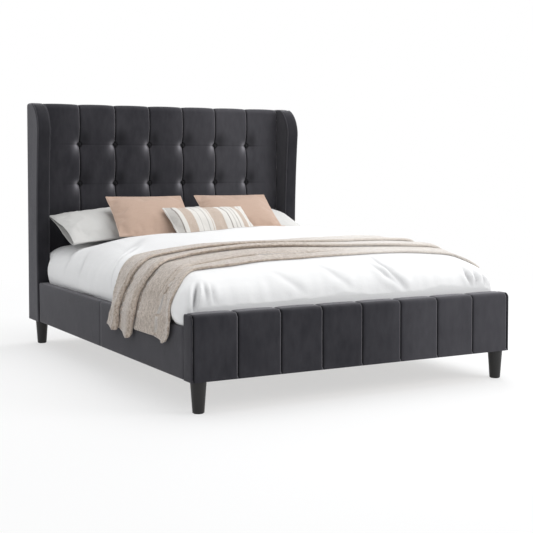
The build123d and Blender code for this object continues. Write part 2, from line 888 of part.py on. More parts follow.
def duvet_slice(place, grow):
    """The duvet's outline across the bed at a share of its length."""
    y = duvet_foot_y + duvet_length * place
    if place == duvet_place_shares[0]:
        y = y - grow
    if place == duvet_place_shares[-1]:
        y = y + grow
    left = {k: (p[0], y, p[1]) for k, p in duvet_side(place, -1, grow).items()}
    right = {k: (p[0], y, p[1]) for k, p in duvet_side(place, 1, grow).items()}
    crown = (0, y, duvet_top(place) + grow)
    return Face(Wire([
        ThreePointArc(left["shoulder"], crown, right["shoulder"]),
        ThreePointArc(right["shoulder"], right["turn"], right["widest"]),
        ThreePointArc(right["widest"], right["waist"], right["hem"]),
        Line(right["hem"], left["hem"]),
        ThreePointArc(left["hem"], left["waist"], left["widest"]),
        ThreePointArc(left["widest"], left["turn"], left["shoulder"]),
    ]))


def duvet_form(grow):
    """The duvet's outer form, larger all round by a clearance."""
    return loft([duvet_slice(place, grow) for place in duvet_place_shares])


def between_wings(side):
    """The space beside the duvet that belongs to a wing, all the way up the wing's leaning front edge."""
    inner = side * (well_x - soft_clearance)
    outer = side * (wing_x + overrun)
    start = head_face_y - wing_reach_shoulder - overrun
    return block((min(inner, outer), start, leg_height), (max(inner, outer), head_back_y, headboard_top_z))


def duvet_node():
    """The duvet, which lies over the mattress and down to the rails' top edges."""
    cover = duvet_form(0) - mattress_form(soft_clearance)
    return cover - between_wings(-1) - between_wings(1)


# Throw: stations along it from the right-hand end to the hanging left-hand end.
# Each station gives a share of the way out to the bed's side, or a drop below it.

throw_top_shares = (0.85, 0.6, 0.27, -0.13, -0.53, -0.85)
throw_top_foot_shares = (0.11, 0.12, 0.112, 0.105, 0.107, 0.114)
throw_top_head_shares = (0.4, 0.365, 0.33, 0.345, 0.395, 0.36)
throw_turn_foot_shares = (0.075, 0.08)
throw_turn_head_shares = (0.43, 0.356)
throw_side_foot_shares = (0.046, 0.035, 0.055, 0.08)
throw_side_head_shares = (0.401, 0.402, 0.405, 0.416)
throw_side_drop_shares = (-0.9, 0.0, 0.55, 1.0)
throw_level_share = 0.53


def throw_section(base, out, foot, head, crest):
    """A closed slice across the throw: pleats outside, a straight line on the duvet's side."""
    side = 1 if base[0] > 0 else -1

    def point(share, high):
        y = duvet_foot_y + duvet_length * share
        rise = (duvet_shoulder_z(share, side) - duvet_shoulder_z(throw_level_share, side)) * out[1]
        swell = max(0.0, well_x + duvet_side_bulge + duvet_bulge(share) - rail_x) * max(0.0, -out[0])
        reach = high + rise + swell
        return (base[0] + out[0] * reach, y, base[1] + out[1] * reach)

    pitch = (head - foot) / throw_pleats
    edges = []
    for i in range(throw_pleats):
        start = foot + i * pitch
        lean = start + pitch * quarter_share
        edges.append(ThreePointArc(point(start, throw_thickness), point(lean, crest),
                                   point(start + pitch, throw_thickness)))
    edges += closed_run([point(head, throw_thickness), point(head, -throw_depth), point(foot, -throw_depth),
                         point(foot, throw_thickness)])
    return Face(Wire(edges))


def throw_turn(side):
    """Where the throw goes over the duvet's rounded edge."""
    points = duvet_side(throw_level_share, side, layer_clearance)
    return points["turn"]


def throw_sections():
    """Every slice of the throw, from the right-hand end to the hanging end."""
    slices = []
    foot, head = throw_turn_foot_shares[0], throw_turn_head_shares[0]
    diagonal = math.sqrt(2) / 2
    slices.append(throw_section(throw_turn(1), (diagonal, diagonal), foot, head, throw_crest))
    for i, share in enumerate(throw_top_shares):
        x = share * well_x
        side = 1 if x > 0 else -1
        fall = duvet_fall(throw_level_share, side) * (x / duvet_shoulder_x(side)) ** 2
        base = (x, duvet_top(throw_level_share) - fall)
        slices.append(throw_section(base, (0, 1), throw_top_foot_shares[i], throw_top_head_shares[i], throw_crest))
    foot, head = throw_turn_foot_shares[1], throw_turn_head_shares[1]
    slices.append(throw_section(throw_turn(-1), (-diagonal, diagonal), foot, head, throw_crest))
    for i, share in enumerate(throw_side_drop_shares):
        base = (-rail_x - layer_clearance, rail_top_z - share * throw_hang)
        slices.append(throw_section(base, (-1, 0), throw_side_foot_shares[i], throw_side_head_shares[i],
                                    throw_hang_crest))
    return slices


def throw_keep_out():
    """The space that the hanging end passes when the throw is lifted: the rail and the duvet's side."""
    edge = []
    for place in duvet_place_shares:
        reach = max(rail_x, well_x + duvet_side_bulge + duvet_bulge(place))
        edge.append((-reach - layer_clearance, duvet_foot_y + duvet_length * place, 0))
    edge += [(0, edge[-1][1], 0), (0, edge[0][1], 0), edge[0]]
    top = duvet_side(throw_level_share, -1, 0)["widest"][1]
    return prism(closed_run(edge), Vector(0, 0, top))


def throw_node():
    """The throw, which lies on the duvet and hangs down outside the left-hand rail."""
    return loft(throw_sections()) - duvet_form(layer_clearance) - throw_keep_out()


# Pillows and cushions


def cushion_form(width, height, thickness):
    """A filled cushion: crowned both ways, thin at its seam, with sides drawn in between its corners."""
    slices = []
    for place, swell, tall in zip(cushion_place_shares, cushion_swell_shares, cushion_height_shares):
        x = place * width
        half = tall * height / 2
        thick = swell * thickness / 2
        slices.append(Face(Wire([
            ThreePointArc((x, -half, 0), (x, 0, thick), (x, half, 0)),
            ThreePointArc((x, half, 0), (x, 0, -thick), (x, -half, 0)),
        ])))
    form = loft(slices)
    draw = cushion_draw_share * width
    radius = (height**2 / 4 + draw**2) / (2 * draw)
    for side in (-1, 1):
        form = form - Pos(side * (width / 2 + radius - draw), 0, 0) * Cylinder(radius, thickness)
    return form


def leaned(form, x, seat_y, height, lean):
    """The form leaned back, with its lower seam a little into the duvet at a place."""
    angle = math.radians(lean)
    seat_z = rail_top_z + duvet_loft - cushion_sink
    middle_y = seat_y + height / 2 * math.sin(angle)
    middle_z = seat_z + height / 2 * math.cos(angle)
    return Pos(x, middle_y, middle_z) * Rot(RIGHT_ANGLE - lean, 0, 0) * form


def seated(form):
    """The form with its underside pressed flat by the duvet that it lies on."""
    return form - duvet_form(layer_clearance)


def pillow_node(side):
    """A sleeping pillow, lying back against the headboard."""
    form = cushion_form(pillow_width, pillow_height, pillow_thickness)
    x = side * (pillow_width + pillow_middle_gap) / 2
    seat = head_face_y - pillow_top_gap - pillow_height * math.sin(math.radians(pillow_lean_angle))
    return seated(leaned(form, x, seat, pillow_height, pillow_lean_angle))


def cushion_node(side):
    """A square cushion in front of a pillow."""
    form = cushion_form(cushion_width, cushion_height, cushion_thickness)
    x = side * (cushion_width + cushion_middle_gap) / 2
    return seated(leaned(form, x, head_face_y - cushion_set_back, cushion_height, cushion_lean_angle))


def lumbar_node():
    """A low oblong cushion in front of the two square ones."""
    form = cushion_form(lumbar_width, lumbar_height, lumbar_thickness)
    return seated(leaned(form, 0, head_face_y - lumbar_set_back, lumbar_height, lumbar_lean_angle))


# All the nodes

nodes = {
    "headboard_frame": headboard_frame_node(),
    "headboard_face_board": headboard_face_board_node(),
    "headboard_pad": headboard_pad_node(),
    "headboard_buttons": headboard_buttons_node(),
    "headboard_back_cover": headboard_back_cover_node(),
    "footboard_frame": footboard_frame_node(),
    "footboard_face_board": footboard_face_board_node(),
    "footboard_pad": footboard_pad_node(),
    "footboard_back_cover": footboard_back_cover_node(),
    "rail_plates": plates_node(),
    "corner_brackets": brackets_node(),
    "frame_bolts": bolts_node(),
    "leg_glides": leg_glides_node(),
    "centre_beam_foot_half": beam_node("foot"),
    "centre_beam_head_half": beam_node("head"),
    "centre_beam_sleeve": beam_sleeve_node(),
    "beam_hangers": beam_hangers_node(),
    "slat_straps": slat_straps_node(),
    "mattress": mattress_form(0),
    "duvet": duvet_node(),
    "throw_blanket": throw_node(),
    "lumbar_cushion": lumbar_node(),
}
for name, side in (("left", -1), ("right", 1)):
    nodes[name + "_wing_frame"] = wing_frame_node(side)
    nodes[name + "_wing_cover"] = wing_cover_node(side)
    nodes[name + "_foot_leg"] = leg_node((side * foot_leg_place[0], foot_leg_place[1]))
    nodes[name + "_head_leg"] = leg_node((side * head_leg_place[0], head_leg_place[1]))
    nodes[name + "_slat_ledge"] = ledge_node(side)
    nodes[name + "_pillow"] = pillow_node(side)
    nodes[name + "_cushion"] = cushion_node(side)
    for half in ("foot", "head"):
        nodes[name + "_rail_board_" + half] = rail_board_node(side, half)
        nodes[name + "_rail_cover_" + half] = rail_cover_node(side, half)
for name, share in zip(("foot", "head"), centre_leg_place_shares):
    nodes["centre_leg_" + name] = centre_leg_node(share)
    nodes["levelling_foot_" + name] = centre_foot_node(share)
for index in range(slat_count):
    nodes[f"slat_{index + 1:02d}"] = slat_node(index)

os.makedirs("parts", exist_ok=True)
for name, shape in nodes.items():
    if isinstance(shape, list):
        shape = Compound(children=shape)
    export_step(shape, "parts/" + name + ".step")
    print(name, round(shape.volume))
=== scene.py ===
import bmesh
import bpy
import math
import numpy as np
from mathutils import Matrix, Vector, noise
from mathutils.bvhtree import BVHTree


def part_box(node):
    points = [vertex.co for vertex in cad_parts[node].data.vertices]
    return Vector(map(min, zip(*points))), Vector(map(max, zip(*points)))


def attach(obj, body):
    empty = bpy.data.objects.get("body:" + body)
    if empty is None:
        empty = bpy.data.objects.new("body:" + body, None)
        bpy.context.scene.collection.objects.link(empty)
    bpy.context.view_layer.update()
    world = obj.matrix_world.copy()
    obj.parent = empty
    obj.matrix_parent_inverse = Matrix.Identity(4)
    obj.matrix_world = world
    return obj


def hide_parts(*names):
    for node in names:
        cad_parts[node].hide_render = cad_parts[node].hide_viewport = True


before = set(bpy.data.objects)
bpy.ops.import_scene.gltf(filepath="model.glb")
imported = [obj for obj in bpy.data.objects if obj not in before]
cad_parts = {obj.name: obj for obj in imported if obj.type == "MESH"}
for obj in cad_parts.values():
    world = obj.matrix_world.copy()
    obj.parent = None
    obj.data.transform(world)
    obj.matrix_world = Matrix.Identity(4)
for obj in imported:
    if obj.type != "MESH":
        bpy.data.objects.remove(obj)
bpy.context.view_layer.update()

# Camera
# The bed is seen from beyond its foot end and well to its left, from about a metre above the floor.

EYE = Vector((-2.6734, -5.024, 1.0011))
YAW = 0.5068
PITCH = 0.045
LENS = 36 * 1105.2485 / 533
SHIFT_DOWN = 0.098

camera_data = bpy.data.cameras.new("camera")
camera_data.sensor_width = 36
camera_data.lens = LENS
camera_data.shift_y = -SHIFT_DOWN
camera = bpy.data.objects.new("camera", camera_data)
camera.location = EYE
camera.rotation_euler = (math.pi / 2 - PITCH, 0, -YAW)
bpy.context.scene.collection.objects.link(camera)
bpy.context.scene.camera = camera

# Headboard pad
# Foam under charcoal velvet, sewn in seven upright channels whose seams run over the top edge, and
# pulled in by three rows of covered buttons. It is glued to a board and stapled round the frame.

HEAD_CHANNELS = 7
HEAD_SEAM_DEPTH = 0.011
HEAD_SEAM_WIDTH = 0.0035
HEAD_TOP_ROUND = 0.030
HEAD_LOW_PADDING = 0.004
HEAD_BACK_EDGE = 0.005
HEAD_COLUMNS = 36
HEAD_ROWS = 150
TUFT_TOP = 0.229
TUFT_PITCH = 0.2235
TUFT_ROWS = 3
TUFT_DEPTH = 0.0125
TUFT_REACH = 0.036
TUFT_SPREAD = 0.16
TUCK_DEPTH = 0.0016
TUCK_WIDTH = 0.0035
TUCK_LENGTH = 0.075
SEAM_PINCH = 0.0042
SEAM_BOW = 0.0042
PUCKER_DEPTH = 0.0007
VELVET = (0.0185, 0.018, 0.0225)
# The paler pile colour that random pile tone and the painted highlights blend towards.
VELVET_PALE_PILE_AND_HIGHLIGHT = (0.230, 0.225, 0.245)
VELVET_SHADE = (0.003, 0.003, 0.004)
# Painted highlights and painted shade on the velvet: beside and in the seams, round the buttons, along the tucks, and a
# painted brightening towards the right.
SEAM_LIGHT, SEAM_LIGHT_AT, SEAM_LIGHT_WIDTH = 0.20, -0.0060, 0.0026
SEAM_SHADE, SEAM_SHADE_AT, SEAM_SHADE_WIDTH = 0.95, 0.0006, 0.0024
SEAM_GLOW, SEAM_GLOW_WIDTH = 0.035, 0.020
TUFT_LIGHT = ((0.85, -0.019, 0.014, -0.006, 0.022), (0.26, -0.027, 0.026, -0.026, 0.040),
              (0.05, 0.0, 0.10, -0.004, 0.0022))
TUFT_SHADE = ((0.55, 0.030, 0.032, 0.034, 0.044), (0.42, 0.0, 0.095, 0.0, 0.0024))
BUTTON_SHADE, BUTTON_EDGE, BUTTON_EDGE_WIDTH = 0.85, 0.013, 0.004
HEAD_RIGHT_LIGHT, HEAD_RIGHT_FROM, HEAD_RIGHT_RUN = 0.095, -0.05, 0.4


class Value:
    """A number, colour or vector in a finish's node tree, so that sums on a surface read as sums."""

    def __init__(self, finish, socket):
        self.finish = finish
        self.socket = socket

    def _math(self, operation, first, second):
        if self.socket.type == "VECTOR":
            return self.finish.node("VectorMath", {"operation": operation}, Vector=first, Vector_001=second)
        return self.finish.node("Math", {"operation": operation}, Value=first, Value_001=second)

    def __add__(self, other):
        return self._math("ADD", self, other)

    def __radd__(self, other):
        return self._math("ADD", other, self)

    def __sub__(self, other):
        return self._math("SUBTRACT", self, other)

    def __rsub__(self, other):
        return self._math("SUBTRACT", other, self)

    def __mul__(self, other):
        return self._math("MULTIPLY", self, other)

    def __rmul__(self, other):
        return self._math("MULTIPLY", other, self)


class Finish:
    """One material: a Principled shader and the nodes that vary it over the surface."""

    def __init__(self, name, roughness=0.8, **constants):
        self.material = bpy.data.materials.new(name)
        self.material.use_nodes = True
        self.tree = self.material.node_tree
        self.tree.nodes.clear()
        self.shader = self.tree.nodes.new("ShaderNodeBsdfPrincipled")
        output = self.tree.nodes.new("ShaderNodeOutputMaterial")
        output.name = "Material Output"
        self.tree.links.new(self.shader.outputs[0], output.inputs[0])
        self.shader.inputs["Roughness"].default_value = roughness
        for name, value in constants.items():
            self.shader.inputs[name.replace("_", " ")].default_value = value
        self.place = Value(self, self.tree.nodes.new("ShaderNodeTexCoord").outputs["Object"])

    def node(self, kind, settings=None, out=0, **inputs):
        """A node's output: the settings are set first, then the sockets get their values or links."""
        made = self.tree.nodes.new("ShaderNode" + kind)
        for key, value in (settings or {}).items():
            if key == "stops":
                while len(made.color_ramp.elements) < len(value):
                    made.color_ramp.elements.new(0.5)
                for element, (at, colour) in zip(made.color_ramp.elements, value):
                    element.position = at
                    element.color = (*colour, 1)
            else:
                setattr(made, key, value)
        for key, value in inputs.items():
            found = [s for s in made.inputs if s.identifier == key and s.enabled]
            self.feed(found[0] if found else made.inputs[key.replace("_", " ")], value)
        return Value(self, made.outputs[out])

    def feed(self, socket, value):
        if isinstance(value, Value):
            self.tree.links.new(value.socket, socket)
        elif isinstance(value, tuple) and len(value) == 3 and socket.type == "RGBA":
            socket.default_value = (*value, 1)
        else:
            socket.default_value = value

    def grain(self, scale, detail=3.0, rough=0.55, stretch=None):
        """Smooth noise from 0 to 1 over the surface. The scale is in bumps to the metre."""
        place = self.place * stretch if stretch else self.place
        return self.node("TexNoise", Vector=place, Scale=scale, Detail=detail, Roughness=rough)

    def blend(self, factor, low, high):
        """One colour turned into another by a factor."""
        return self.node("Mix", {"data_type": "RGBA"}, out=2, Factor_Float=factor, A_Color=low, B_Color=high)

    def between(self, value, low, high, start=0.0, end=1.0):
        """The value spread from one range to another, and kept inside it."""
        return self.node("MapRange", {"clamp": True}, Value=value, From_Min=low, From_Max=high,
                         To_Min=start, To_Max=end)

    def mark(self, name):
        """A number that the mesh carries at each point."""
        return self.node("Attribute", {"attribute_name": name}, out=2)

    def paint(self, colour, roughness=None, bump=None, depth=0.001, strength=1.0):
        """Joins what varies to the shader."""
        self.feed(self.shader.inputs["Base Color"], colour)
        if roughness is not None:
            self.feed(self.shader.inputs["Roughness"], roughness)
        if bump is not None:
            normal = self.node("Bump", Height=bump, Distance=depth, Strength=strength)
            self.feed(self.shader.inputs["Normal"], normal)
        return self.material


def velvet_finish(name, deep, rubbed):
    """Short pile that lies in soft patches, lighter by painted highlights at seams and buttons, and darker by painted
    shade.
    """
    velvet = Finish(name, Sheen_Weight=0.46, Sheen_Roughness=0.30, Sheen_Tint=(0.92, 0.91, 0.95, 1),
                    Specular_IOR_Level=0.15)
    patches = velvet.between(velvet.grain(5.5, detail=2.0), 0.35, 0.68)
    streaks = velvet.between(velvet.grain(38.0, detail=3.0, stretch=(1.0, 1.0, 0.4)), 0.3, 0.75)
    pile = velvet.grain(1500.0, detail=2.0)
    shade = patches * 0.040 + streaks * 0.045 + pile * 0.040
    # Painted light: the mark read here adds painted highlights, and the closed mark on the next line adds painted
    # shade.
    colour = velvet.blend(shade + velvet.mark("pull"), deep, rubbed)
    colour = velvet.blend(velvet.mark("closed"), colour, VELVET_SHADE)
    return velvet.paint(colour, roughness=velvet.between(pile, 0.2, 0.8, 0.72, 0.92), bump=pile, depth=0.0005,
                        strength=0.5)


velvet = velvet_finish("velvet", VELVET, VELVET_PALE_PILE_AND_HIGHLIGHT)


def piece(name, points, faces, body, slot, material, crease=50, replaced=()):
    """A mesh piece in the frame's axes: joined points, outward faces, smooth up to the crease angle in degrees."""
    mesh = bpy.data.meshes.new(name)
    mesh.from_pydata([tuple(p) for p in points], [], faces)
    mesh.update()
    work = bmesh.new()
    work.from_mesh(mesh)
    bmesh.ops.remove_doubles(work, verts=work.verts, dist=1e-6)
    bmesh.ops.recalc_face_normals(work, faces=work.faces)
    for face in work.faces:
        face.smooth = True
    for edge in work.edges:
        edge.smooth = len(edge.link_faces) != 2 or edge.calc_face_angle(0) < math.radians(crease)
    work.to_mesh(mesh)
    work.free()
    made = bpy.data.objects.new(name, mesh)
    bpy.context.scene.collection.objects.link(made)
    mesh.materials.append(material)
    if replaced:
        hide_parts(*replaced)
    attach(made, body)
    return made


def mark_values(made, name, values):
    """Writes a number on each point of a mesh, for its finish to read."""
    layer = made.data.attributes.new(name, "FLOAT", "POINT")
    layer.data.foreach_set("value", [float(value) for value in values])


def mark(made, name, value_at):
    """Marks each point of a mesh by its place."""
    mark_values(made, name, [value_at(v.co) for v in made.data.vertices])


def ring_loft(rings, closed=False):
    """Points and quads through a row of rings. The row has flat ends, or is closed and runs into its first ring."""
    count, total = len(rings[0]), len(rings)
    points = [p for ring in rings for p in ring]
    faces = []
    for i in range(total if closed else total - 1):
        this, following = i * count, (i + 1) % total * count
        faces += [(this + j, this + k, following + k, following + j)
                  for j, k in ((j, (j + 1) % count) for j in range(count))]
    if not closed:
        faces += [tuple(range(count))[::-1], tuple(range((total - 1) * count, total * count))]
    return points, faces


def bell(away, width):
    """1 at no distance, falling smoothly to 0 over about twice the width."""
    return math.exp(-(away / width) ** 2)


def ramp(past, run):
    """0 up to a place, 1 from a run beyond it, and straight between."""
    return min(max(past / run, 0.0), 1.0)


def quarter(steps, first=0):
    """The angles of a quarter turn in even steps, from the first step on."""
    return [math.pi / 2 * i / steps for i in range(first, steps + 1)]


def wobble(x, y, z, scale, seed=0.0):
    """Smooth noise about 0, the same each run."""
    return noise.noise(Vector((x * scale + seed, y * scale - seed, z * scale + 0.37 * seed)))


head_low, head_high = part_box("headboard_pad")
slat_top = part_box("slat_01")[1].z
board_low, board_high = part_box("headboard_face_board")
board_front, board_top = board_low.y, board_high.z
head_pitch = (head_high.x - head_low.x) / HEAD_CHANNELS
tufts = [(head_low.x + seam * head_pitch, head_high.z - TUFT_TOP - row * TUFT_PITCH)
         for row in range(TUFT_ROWS) for seam in range(1, HEAD_CHANNELS)]


def seam_share(x, low, pitch, width):
    """1 on a seam and 0 away from it, and how far across its channel a place is, from -1 to 1."""
    across = ((x - low) / pitch) % 1.0
    away = min(across, 1 - across) * pitch
    return bell(away, width), 2 * across - 1


def beside_seam(x, low, pitch, offset, width):
    """1 on a line that runs beside each seam, and 0 away from it."""
    return seam_share(x - offset, low, pitch, width)[0]


def head_sway(z):
    """The seams bow a little to the right between their buttons."""
    below = (head_high.z - TUFT_TOP - z) / TUFT_PITCH
    return SEAM_BOW * math.sin(math.pi * (below % 1.0)) if below > -1 else 0.0


def head_dent(x, z):
    """How far the headboard's face lies behind its most forward point."""
    x = x - head_sway(z)
    seam, across = seam_share(x, head_low.x, head_pitch, HEAD_SEAM_WIDTH)
    dent = HEAD_SEAM_DEPTH * (0.4 * abs(across) ** 2.6 + 0.75 * abs(across) ** 16) + SEAM_PINCH * seam
    dent += PUCKER_DEPTH * bell(1 - abs(across), 0.16) * math.sin(z * 330 + 3 * wobble(x, 0, z, 9))
    for tuft_x, tuft_z in tufts:
        dx, dz = x - tuft_x, z - tuft_z
        reach = math.hypot(dx, dz)
        if reach > TUFT_SPREAD:
            continue
        turn = math.atan2(dz, dx)
        star = 1 + 0.16 * math.cos(4 * turn) + 0.05 * math.cos(9 * turn + 20 * tuft_x)
        dent += TUFT_DEPTH * math.exp(-(reach / (TUFT_REACH * star)) ** 1.35)
        dent += TUCK_DEPTH * bell(dx, TUCK_LENGTH) * bell(dz, TUCK_WIDTH)
    return dent + PUCKER_DEPTH * wobble(x, 0, z, 7, 3.0)


def spots(dx, dz, marks):
    """The sum of soft oval spots at a place: each has a strength, then its middle and width across and up."""
    return sum(strength * bell(dx - x, wide) * bell(dz - z, high) for strength, x, wide, z, high in marks)


def head_painted_highlight(at):
    """Painted highlights: beside and along the seams, round the buttons, and a painted brightening towards the right.
    """
    x, z = at.x - head_sway(at.z), at.z
    pull = SEAM_LIGHT * beside_seam(x, head_low.x, head_pitch, SEAM_LIGHT_AT, SEAM_LIGHT_WIDTH)
    pull += SEAM_GLOW * seam_share(x, head_low.x, head_pitch, SEAM_GLOW_WIDTH)[0]
    for tuft_x, tuft_z in tufts:
        if math.hypot(x - tuft_x, z - tuft_z) <= 0.2:
            pull += spots(x - tuft_x, z - tuft_z, TUFT_LIGHT)
    return pull + HEAD_RIGHT_LIGHT * ramp(at.x - HEAD_RIGHT_FROM, HEAD_RIGHT_RUN)


def head_painted_shade(at):
    """Painted shade: in the seams and tucks, above and right of the buttons, and in a ring round each button."""
    x, z = at.x - head_sway(at.z), at.z
    closed = SEAM_SHADE * beside_seam(x, head_low.x, head_pitch, SEAM_SHADE_AT, SEAM_SHADE_WIDTH)
    for tuft_x, tuft_z in tufts:
        closed += spots(x - tuft_x, z - tuft_z, TUFT_SHADE)
        closed += BUTTON_SHADE * bell(math.hypot(x - tuft_x, z - tuft_z) - BUTTON_EDGE, BUTTON_EDGE_WIDTH)
    return min(closed, 1.0)


def over_top(x, front, top, half, edge, drop, steps):
    """The round from a pad's face to its top, edge deep where it leaves the face and drop deep on the top."""
    line = []
    for turn in quarter(steps, 1):
        slip = edge * math.cos(turn) + drop * math.sin(turn)
        line.append((x, front + half - (half - slip) * math.cos(turn), top - half + (half - slip) * math.sin(turn)))
    return line


def head_ring(x):
    """The pad side on at one place across the bed: up its face, over its top, and down inside."""
    half = HEAD_TOP_ROUND
    thin = board_front - HEAD_LOW_PADDING
    ring = [(x, board_front, head_low.z), (x, thin, head_low.z), (x, thin, slat_top - 0.012), (x, thin, slat_top)]
    face_low, face_high = slat_top, head_high.z - half
    for i in range(HEAD_ROWS + 1):
        z = face_low + (face_high - face_low) * i / HEAD_ROWS
        tuck = 0.01 * math.exp(-(z - face_low) / 0.012)
        ring.append((x, head_low.y + head_dent(x, z) + tuck, z))
    seam, across = seam_share(x, head_low.x, head_pitch, HEAD_SEAM_WIDTH)
    drop = 0.005 * (0.6 * abs(across) ** 2.4 + 0.4 * abs(across) ** 12) + 0.002 * seam
    edge = head_dent(x, face_high)
    ring += over_top(x, head_low.y, head_high.z, half, edge, drop, 12)
    for i in range(1, 9):
        y = head_low.y + half + (head_high.y - HEAD_BACK_EDGE - head_low.y - half) * i / 8
        ring.append((x, y, head_high.z - drop))
    ring += [(x, head_high.y - 0.0015, head_high.z - drop - 0.0015),
             (x, head_high.y, head_high.z - drop - HEAD_BACK_EDGE),
             (x, head_high.y, board_top), (x, board_front, board_top)]
    return ring


def channel_places(low, high, count, columns):
    """Places across a row of channels, closer together by the seams."""
    places = []
    for i in range(count * columns + 1):
        channel, part = divmod(i, columns)
        share = part / columns
        share = share - 0.128 * math.sin(2 * math.pi * share)
        places.append(low + (high - low) * (channel + share) / count)
    return places


head_places = channel_places(head_low.x + 0.0006, head_high.x - 0.0006, HEAD_CHANNELS, HEAD_COLUMNS)
headboard = piece("headboard_velvet", *ring_loft([head_ring(x) for x in head_places]), "bed_frame", "velvet",
                  velvet, replaced=["headboard_pad"])
# Painted highlights and painted shade on the headboard's velvet.
mark(headboard, "pull", head_painted_highlight)
mark(headboard, "closed", head_painted_shade)

# Wings
# A padded slab at each side of the headboard, with a waisted front edge and a round top front corner.
# The velvet is cut in side panels and a front strip, joined by a fine welt along both front edges.

WING_ROUND = 0.016
WING_LEVELS = 120
WING_PUFF = 0.0012
WELT_RADIUS = 0.0026
# Painted highlights on the welts, beside them and on the wing sides, and painted shade on the front strip and inner
# side.
WELT_LIGHT = 0.10
WELT_SIDE_LIGHT, WELT_SIDE_AT, WELT_SIDE_WIDTH = 0.16, 0.012, 0.006
WING_SIDE_LIGHT, WING_FRONT_SHADE, WING_INNER_SHADE = 0.17, 0.34, 0.30


def arc_through(start, middle, end):
    """Centre and radius of the circle through three points of a plane."""
    (ax, ay), (bx, by), (cx, cy) = start, middle, end
    d = 2 * (ax * (by - cy) + bx * (cy - ay) + cx * (ay - by))
    ux = ((ax**2 + ay**2) * (by - cy) + (bx**2 + by**2) * (cy - ay) + (cx**2 + cy**2) * (ay - by)) / d
    uy = ((ax**2 + ay**2) * (cx - bx) + (bx**2 + by**2) * (ax - cx) + (cx**2 + cy**2) * (bx - ax)) / d
    return (ux, uy), math.hypot(ax - ux, ay - uy)


wing_low, wing_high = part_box("right_wing_cover")
WING_TOE, WING_WAIST, WING_SHOULDER = 0.114, 0.102, 0.135
WAIST_RISE, SHOULDER_DROP, TOP_SET_BACK = 0.420, 0.160, 0.014
shoulder_z = wing_high.z - SHOULDER_DROP
edge_centre, edge_radius = arc_through((head_low.y - WING_TOE, wing_low.z),
                                       (head_low.y - WING_WAIST, wing_low.z + WAIST_RISE),
                                       (head_low.y - WING_SHOULDER, shoulder_z))
crown_y = head_low.y + TOP_SET_BACK
corner_run = crown_y - (head_low.y - WING_SHOULDER)


def wing_edge(z):
    """The front edge of a wing at a height: a long hollow arc, then a quarter round to the top."""
    if z <= shoulder_z:
        return edge_centre[0] + math.sqrt(edge_radius**2 - (z - edge_centre[1]) ** 2)
    rise = min((z - shoulder_z) / SHOULDER_DROP, 1.0)
    return crown_y - corner_run * math.sqrt(max(0.0, 1 - rise * rise))


def wing_ring(z, side, inset):
    """The wing cut level at a height: inner side, round front edge, outer side and flat back."""
    steps = 14
    inner, outer = wing_low.x + inset, wing_high.x - inset
    front = wing_edge(z) + inset
    back = wing_high.y - 0.0005
    radius = min(WING_ROUND, (outer - inner) / 2 - 0.001, max((back - front) * 0.4, 0.002))
    ring = []
    for i in range(steps):
        share = i / steps
        y = back + (front + radius - back) * share
        puff = WING_PUFF * math.sin(math.pi * share) * wobble(0.3, y, z, 6, side)
        ring.append((inner + 0.0004 + puff, y, z))
    for turn in quarter(8):
        ring.append((inner + radius - radius * math.cos(turn), front + radius - radius * math.sin(turn), z))
    for i in range(1, 6):
        x = inner + radius + (outer - inner - 2 * radius) * i / 6
        ring.append((x, front - 0.0006 * math.sin(math.pi * i / 6), z))
    for turn in quarter(8):
        ring.append((outer - radius + radius * math.sin(turn), front + radius - radius * math.cos(turn), z))
    for i in range(1, steps + 1):
        share = i / steps
        y = front + radius + (back - front - radius) * share
        puff = WING_PUFF * math.sin(math.pi * share) * (wobble(0.9, y, z, 6, side) - 0.2)
        ring.append((outer + puff - 0.0004, y, z))
    return [(side * x, y, z) for x, y, z in ring]


def wing_levels():
    """Heights up the wing with how far each is drawn in, close together over the round top."""
    levels = [(wing_low.z + 0.0006, 0.0)]
    start, stop = wing_low.z + 0.004, wing_high.z - WING_ROUND
    for i in range(WING_LEVELS + 1):
        share = i / WING_LEVELS
        share = 1 - (1 - share) ** 1.6
        levels.append((start + (stop - start) * share, 0.0))
    for turn in quarter(9, 1):
        levels.append((stop + WING_ROUND * math.sin(turn), WING_ROUND * (1 - math.cos(turn))))
    return levels


def tube_ring(at, ahead, side, radius, sides):
    """A ring of points round a line at one place."""
    up = side.cross(ahead)
    return [at + radius * (math.cos(a) * side + math.sin(a) * up)
            for a in (2 * math.pi * k / sides for k in range(sides))]


def tube(path, radius, sides=8):
    """Points and faces of a tube along a path, with flat ends."""
    rings = []
    path = [Vector(p) for p in path]
    for i, at in enumerate(path):
        ahead = (path[min(i + 1, len(path) - 1)] - path[max(i - 1, 0)]).normalized()
        rings.append(tube_ring(at, ahead, ahead.cross(Vector((1, 0, 0))).normalized(), radius, sides))
    return ring_loft(rings)


def behind_edge(at):
    """How far a place on a wing lies behind its front edge."""
    return at.y - wing_edge(min(max(at.z, wing_low.z), wing_high.z))


def wing_painted_highlight(at):
    """Painted highlights beside the welts and on the sides."""
    near = behind_edge(at)
    return WELT_SIDE_LIGHT * bell(near - WELT_SIDE_AT, WELT_SIDE_WIDTH) + WING_SIDE_LIGHT * (near > 0.02)


def wing_painted_shade(at):
    """Painted shade on the front strip and on the inner side."""
    if behind_edge(at) < WELT_SIDE_AT:
        return WING_FRONT_SHADE
    return WING_INNER_SHADE if abs(at.x) < wing_low.x + 0.004 else 0.0


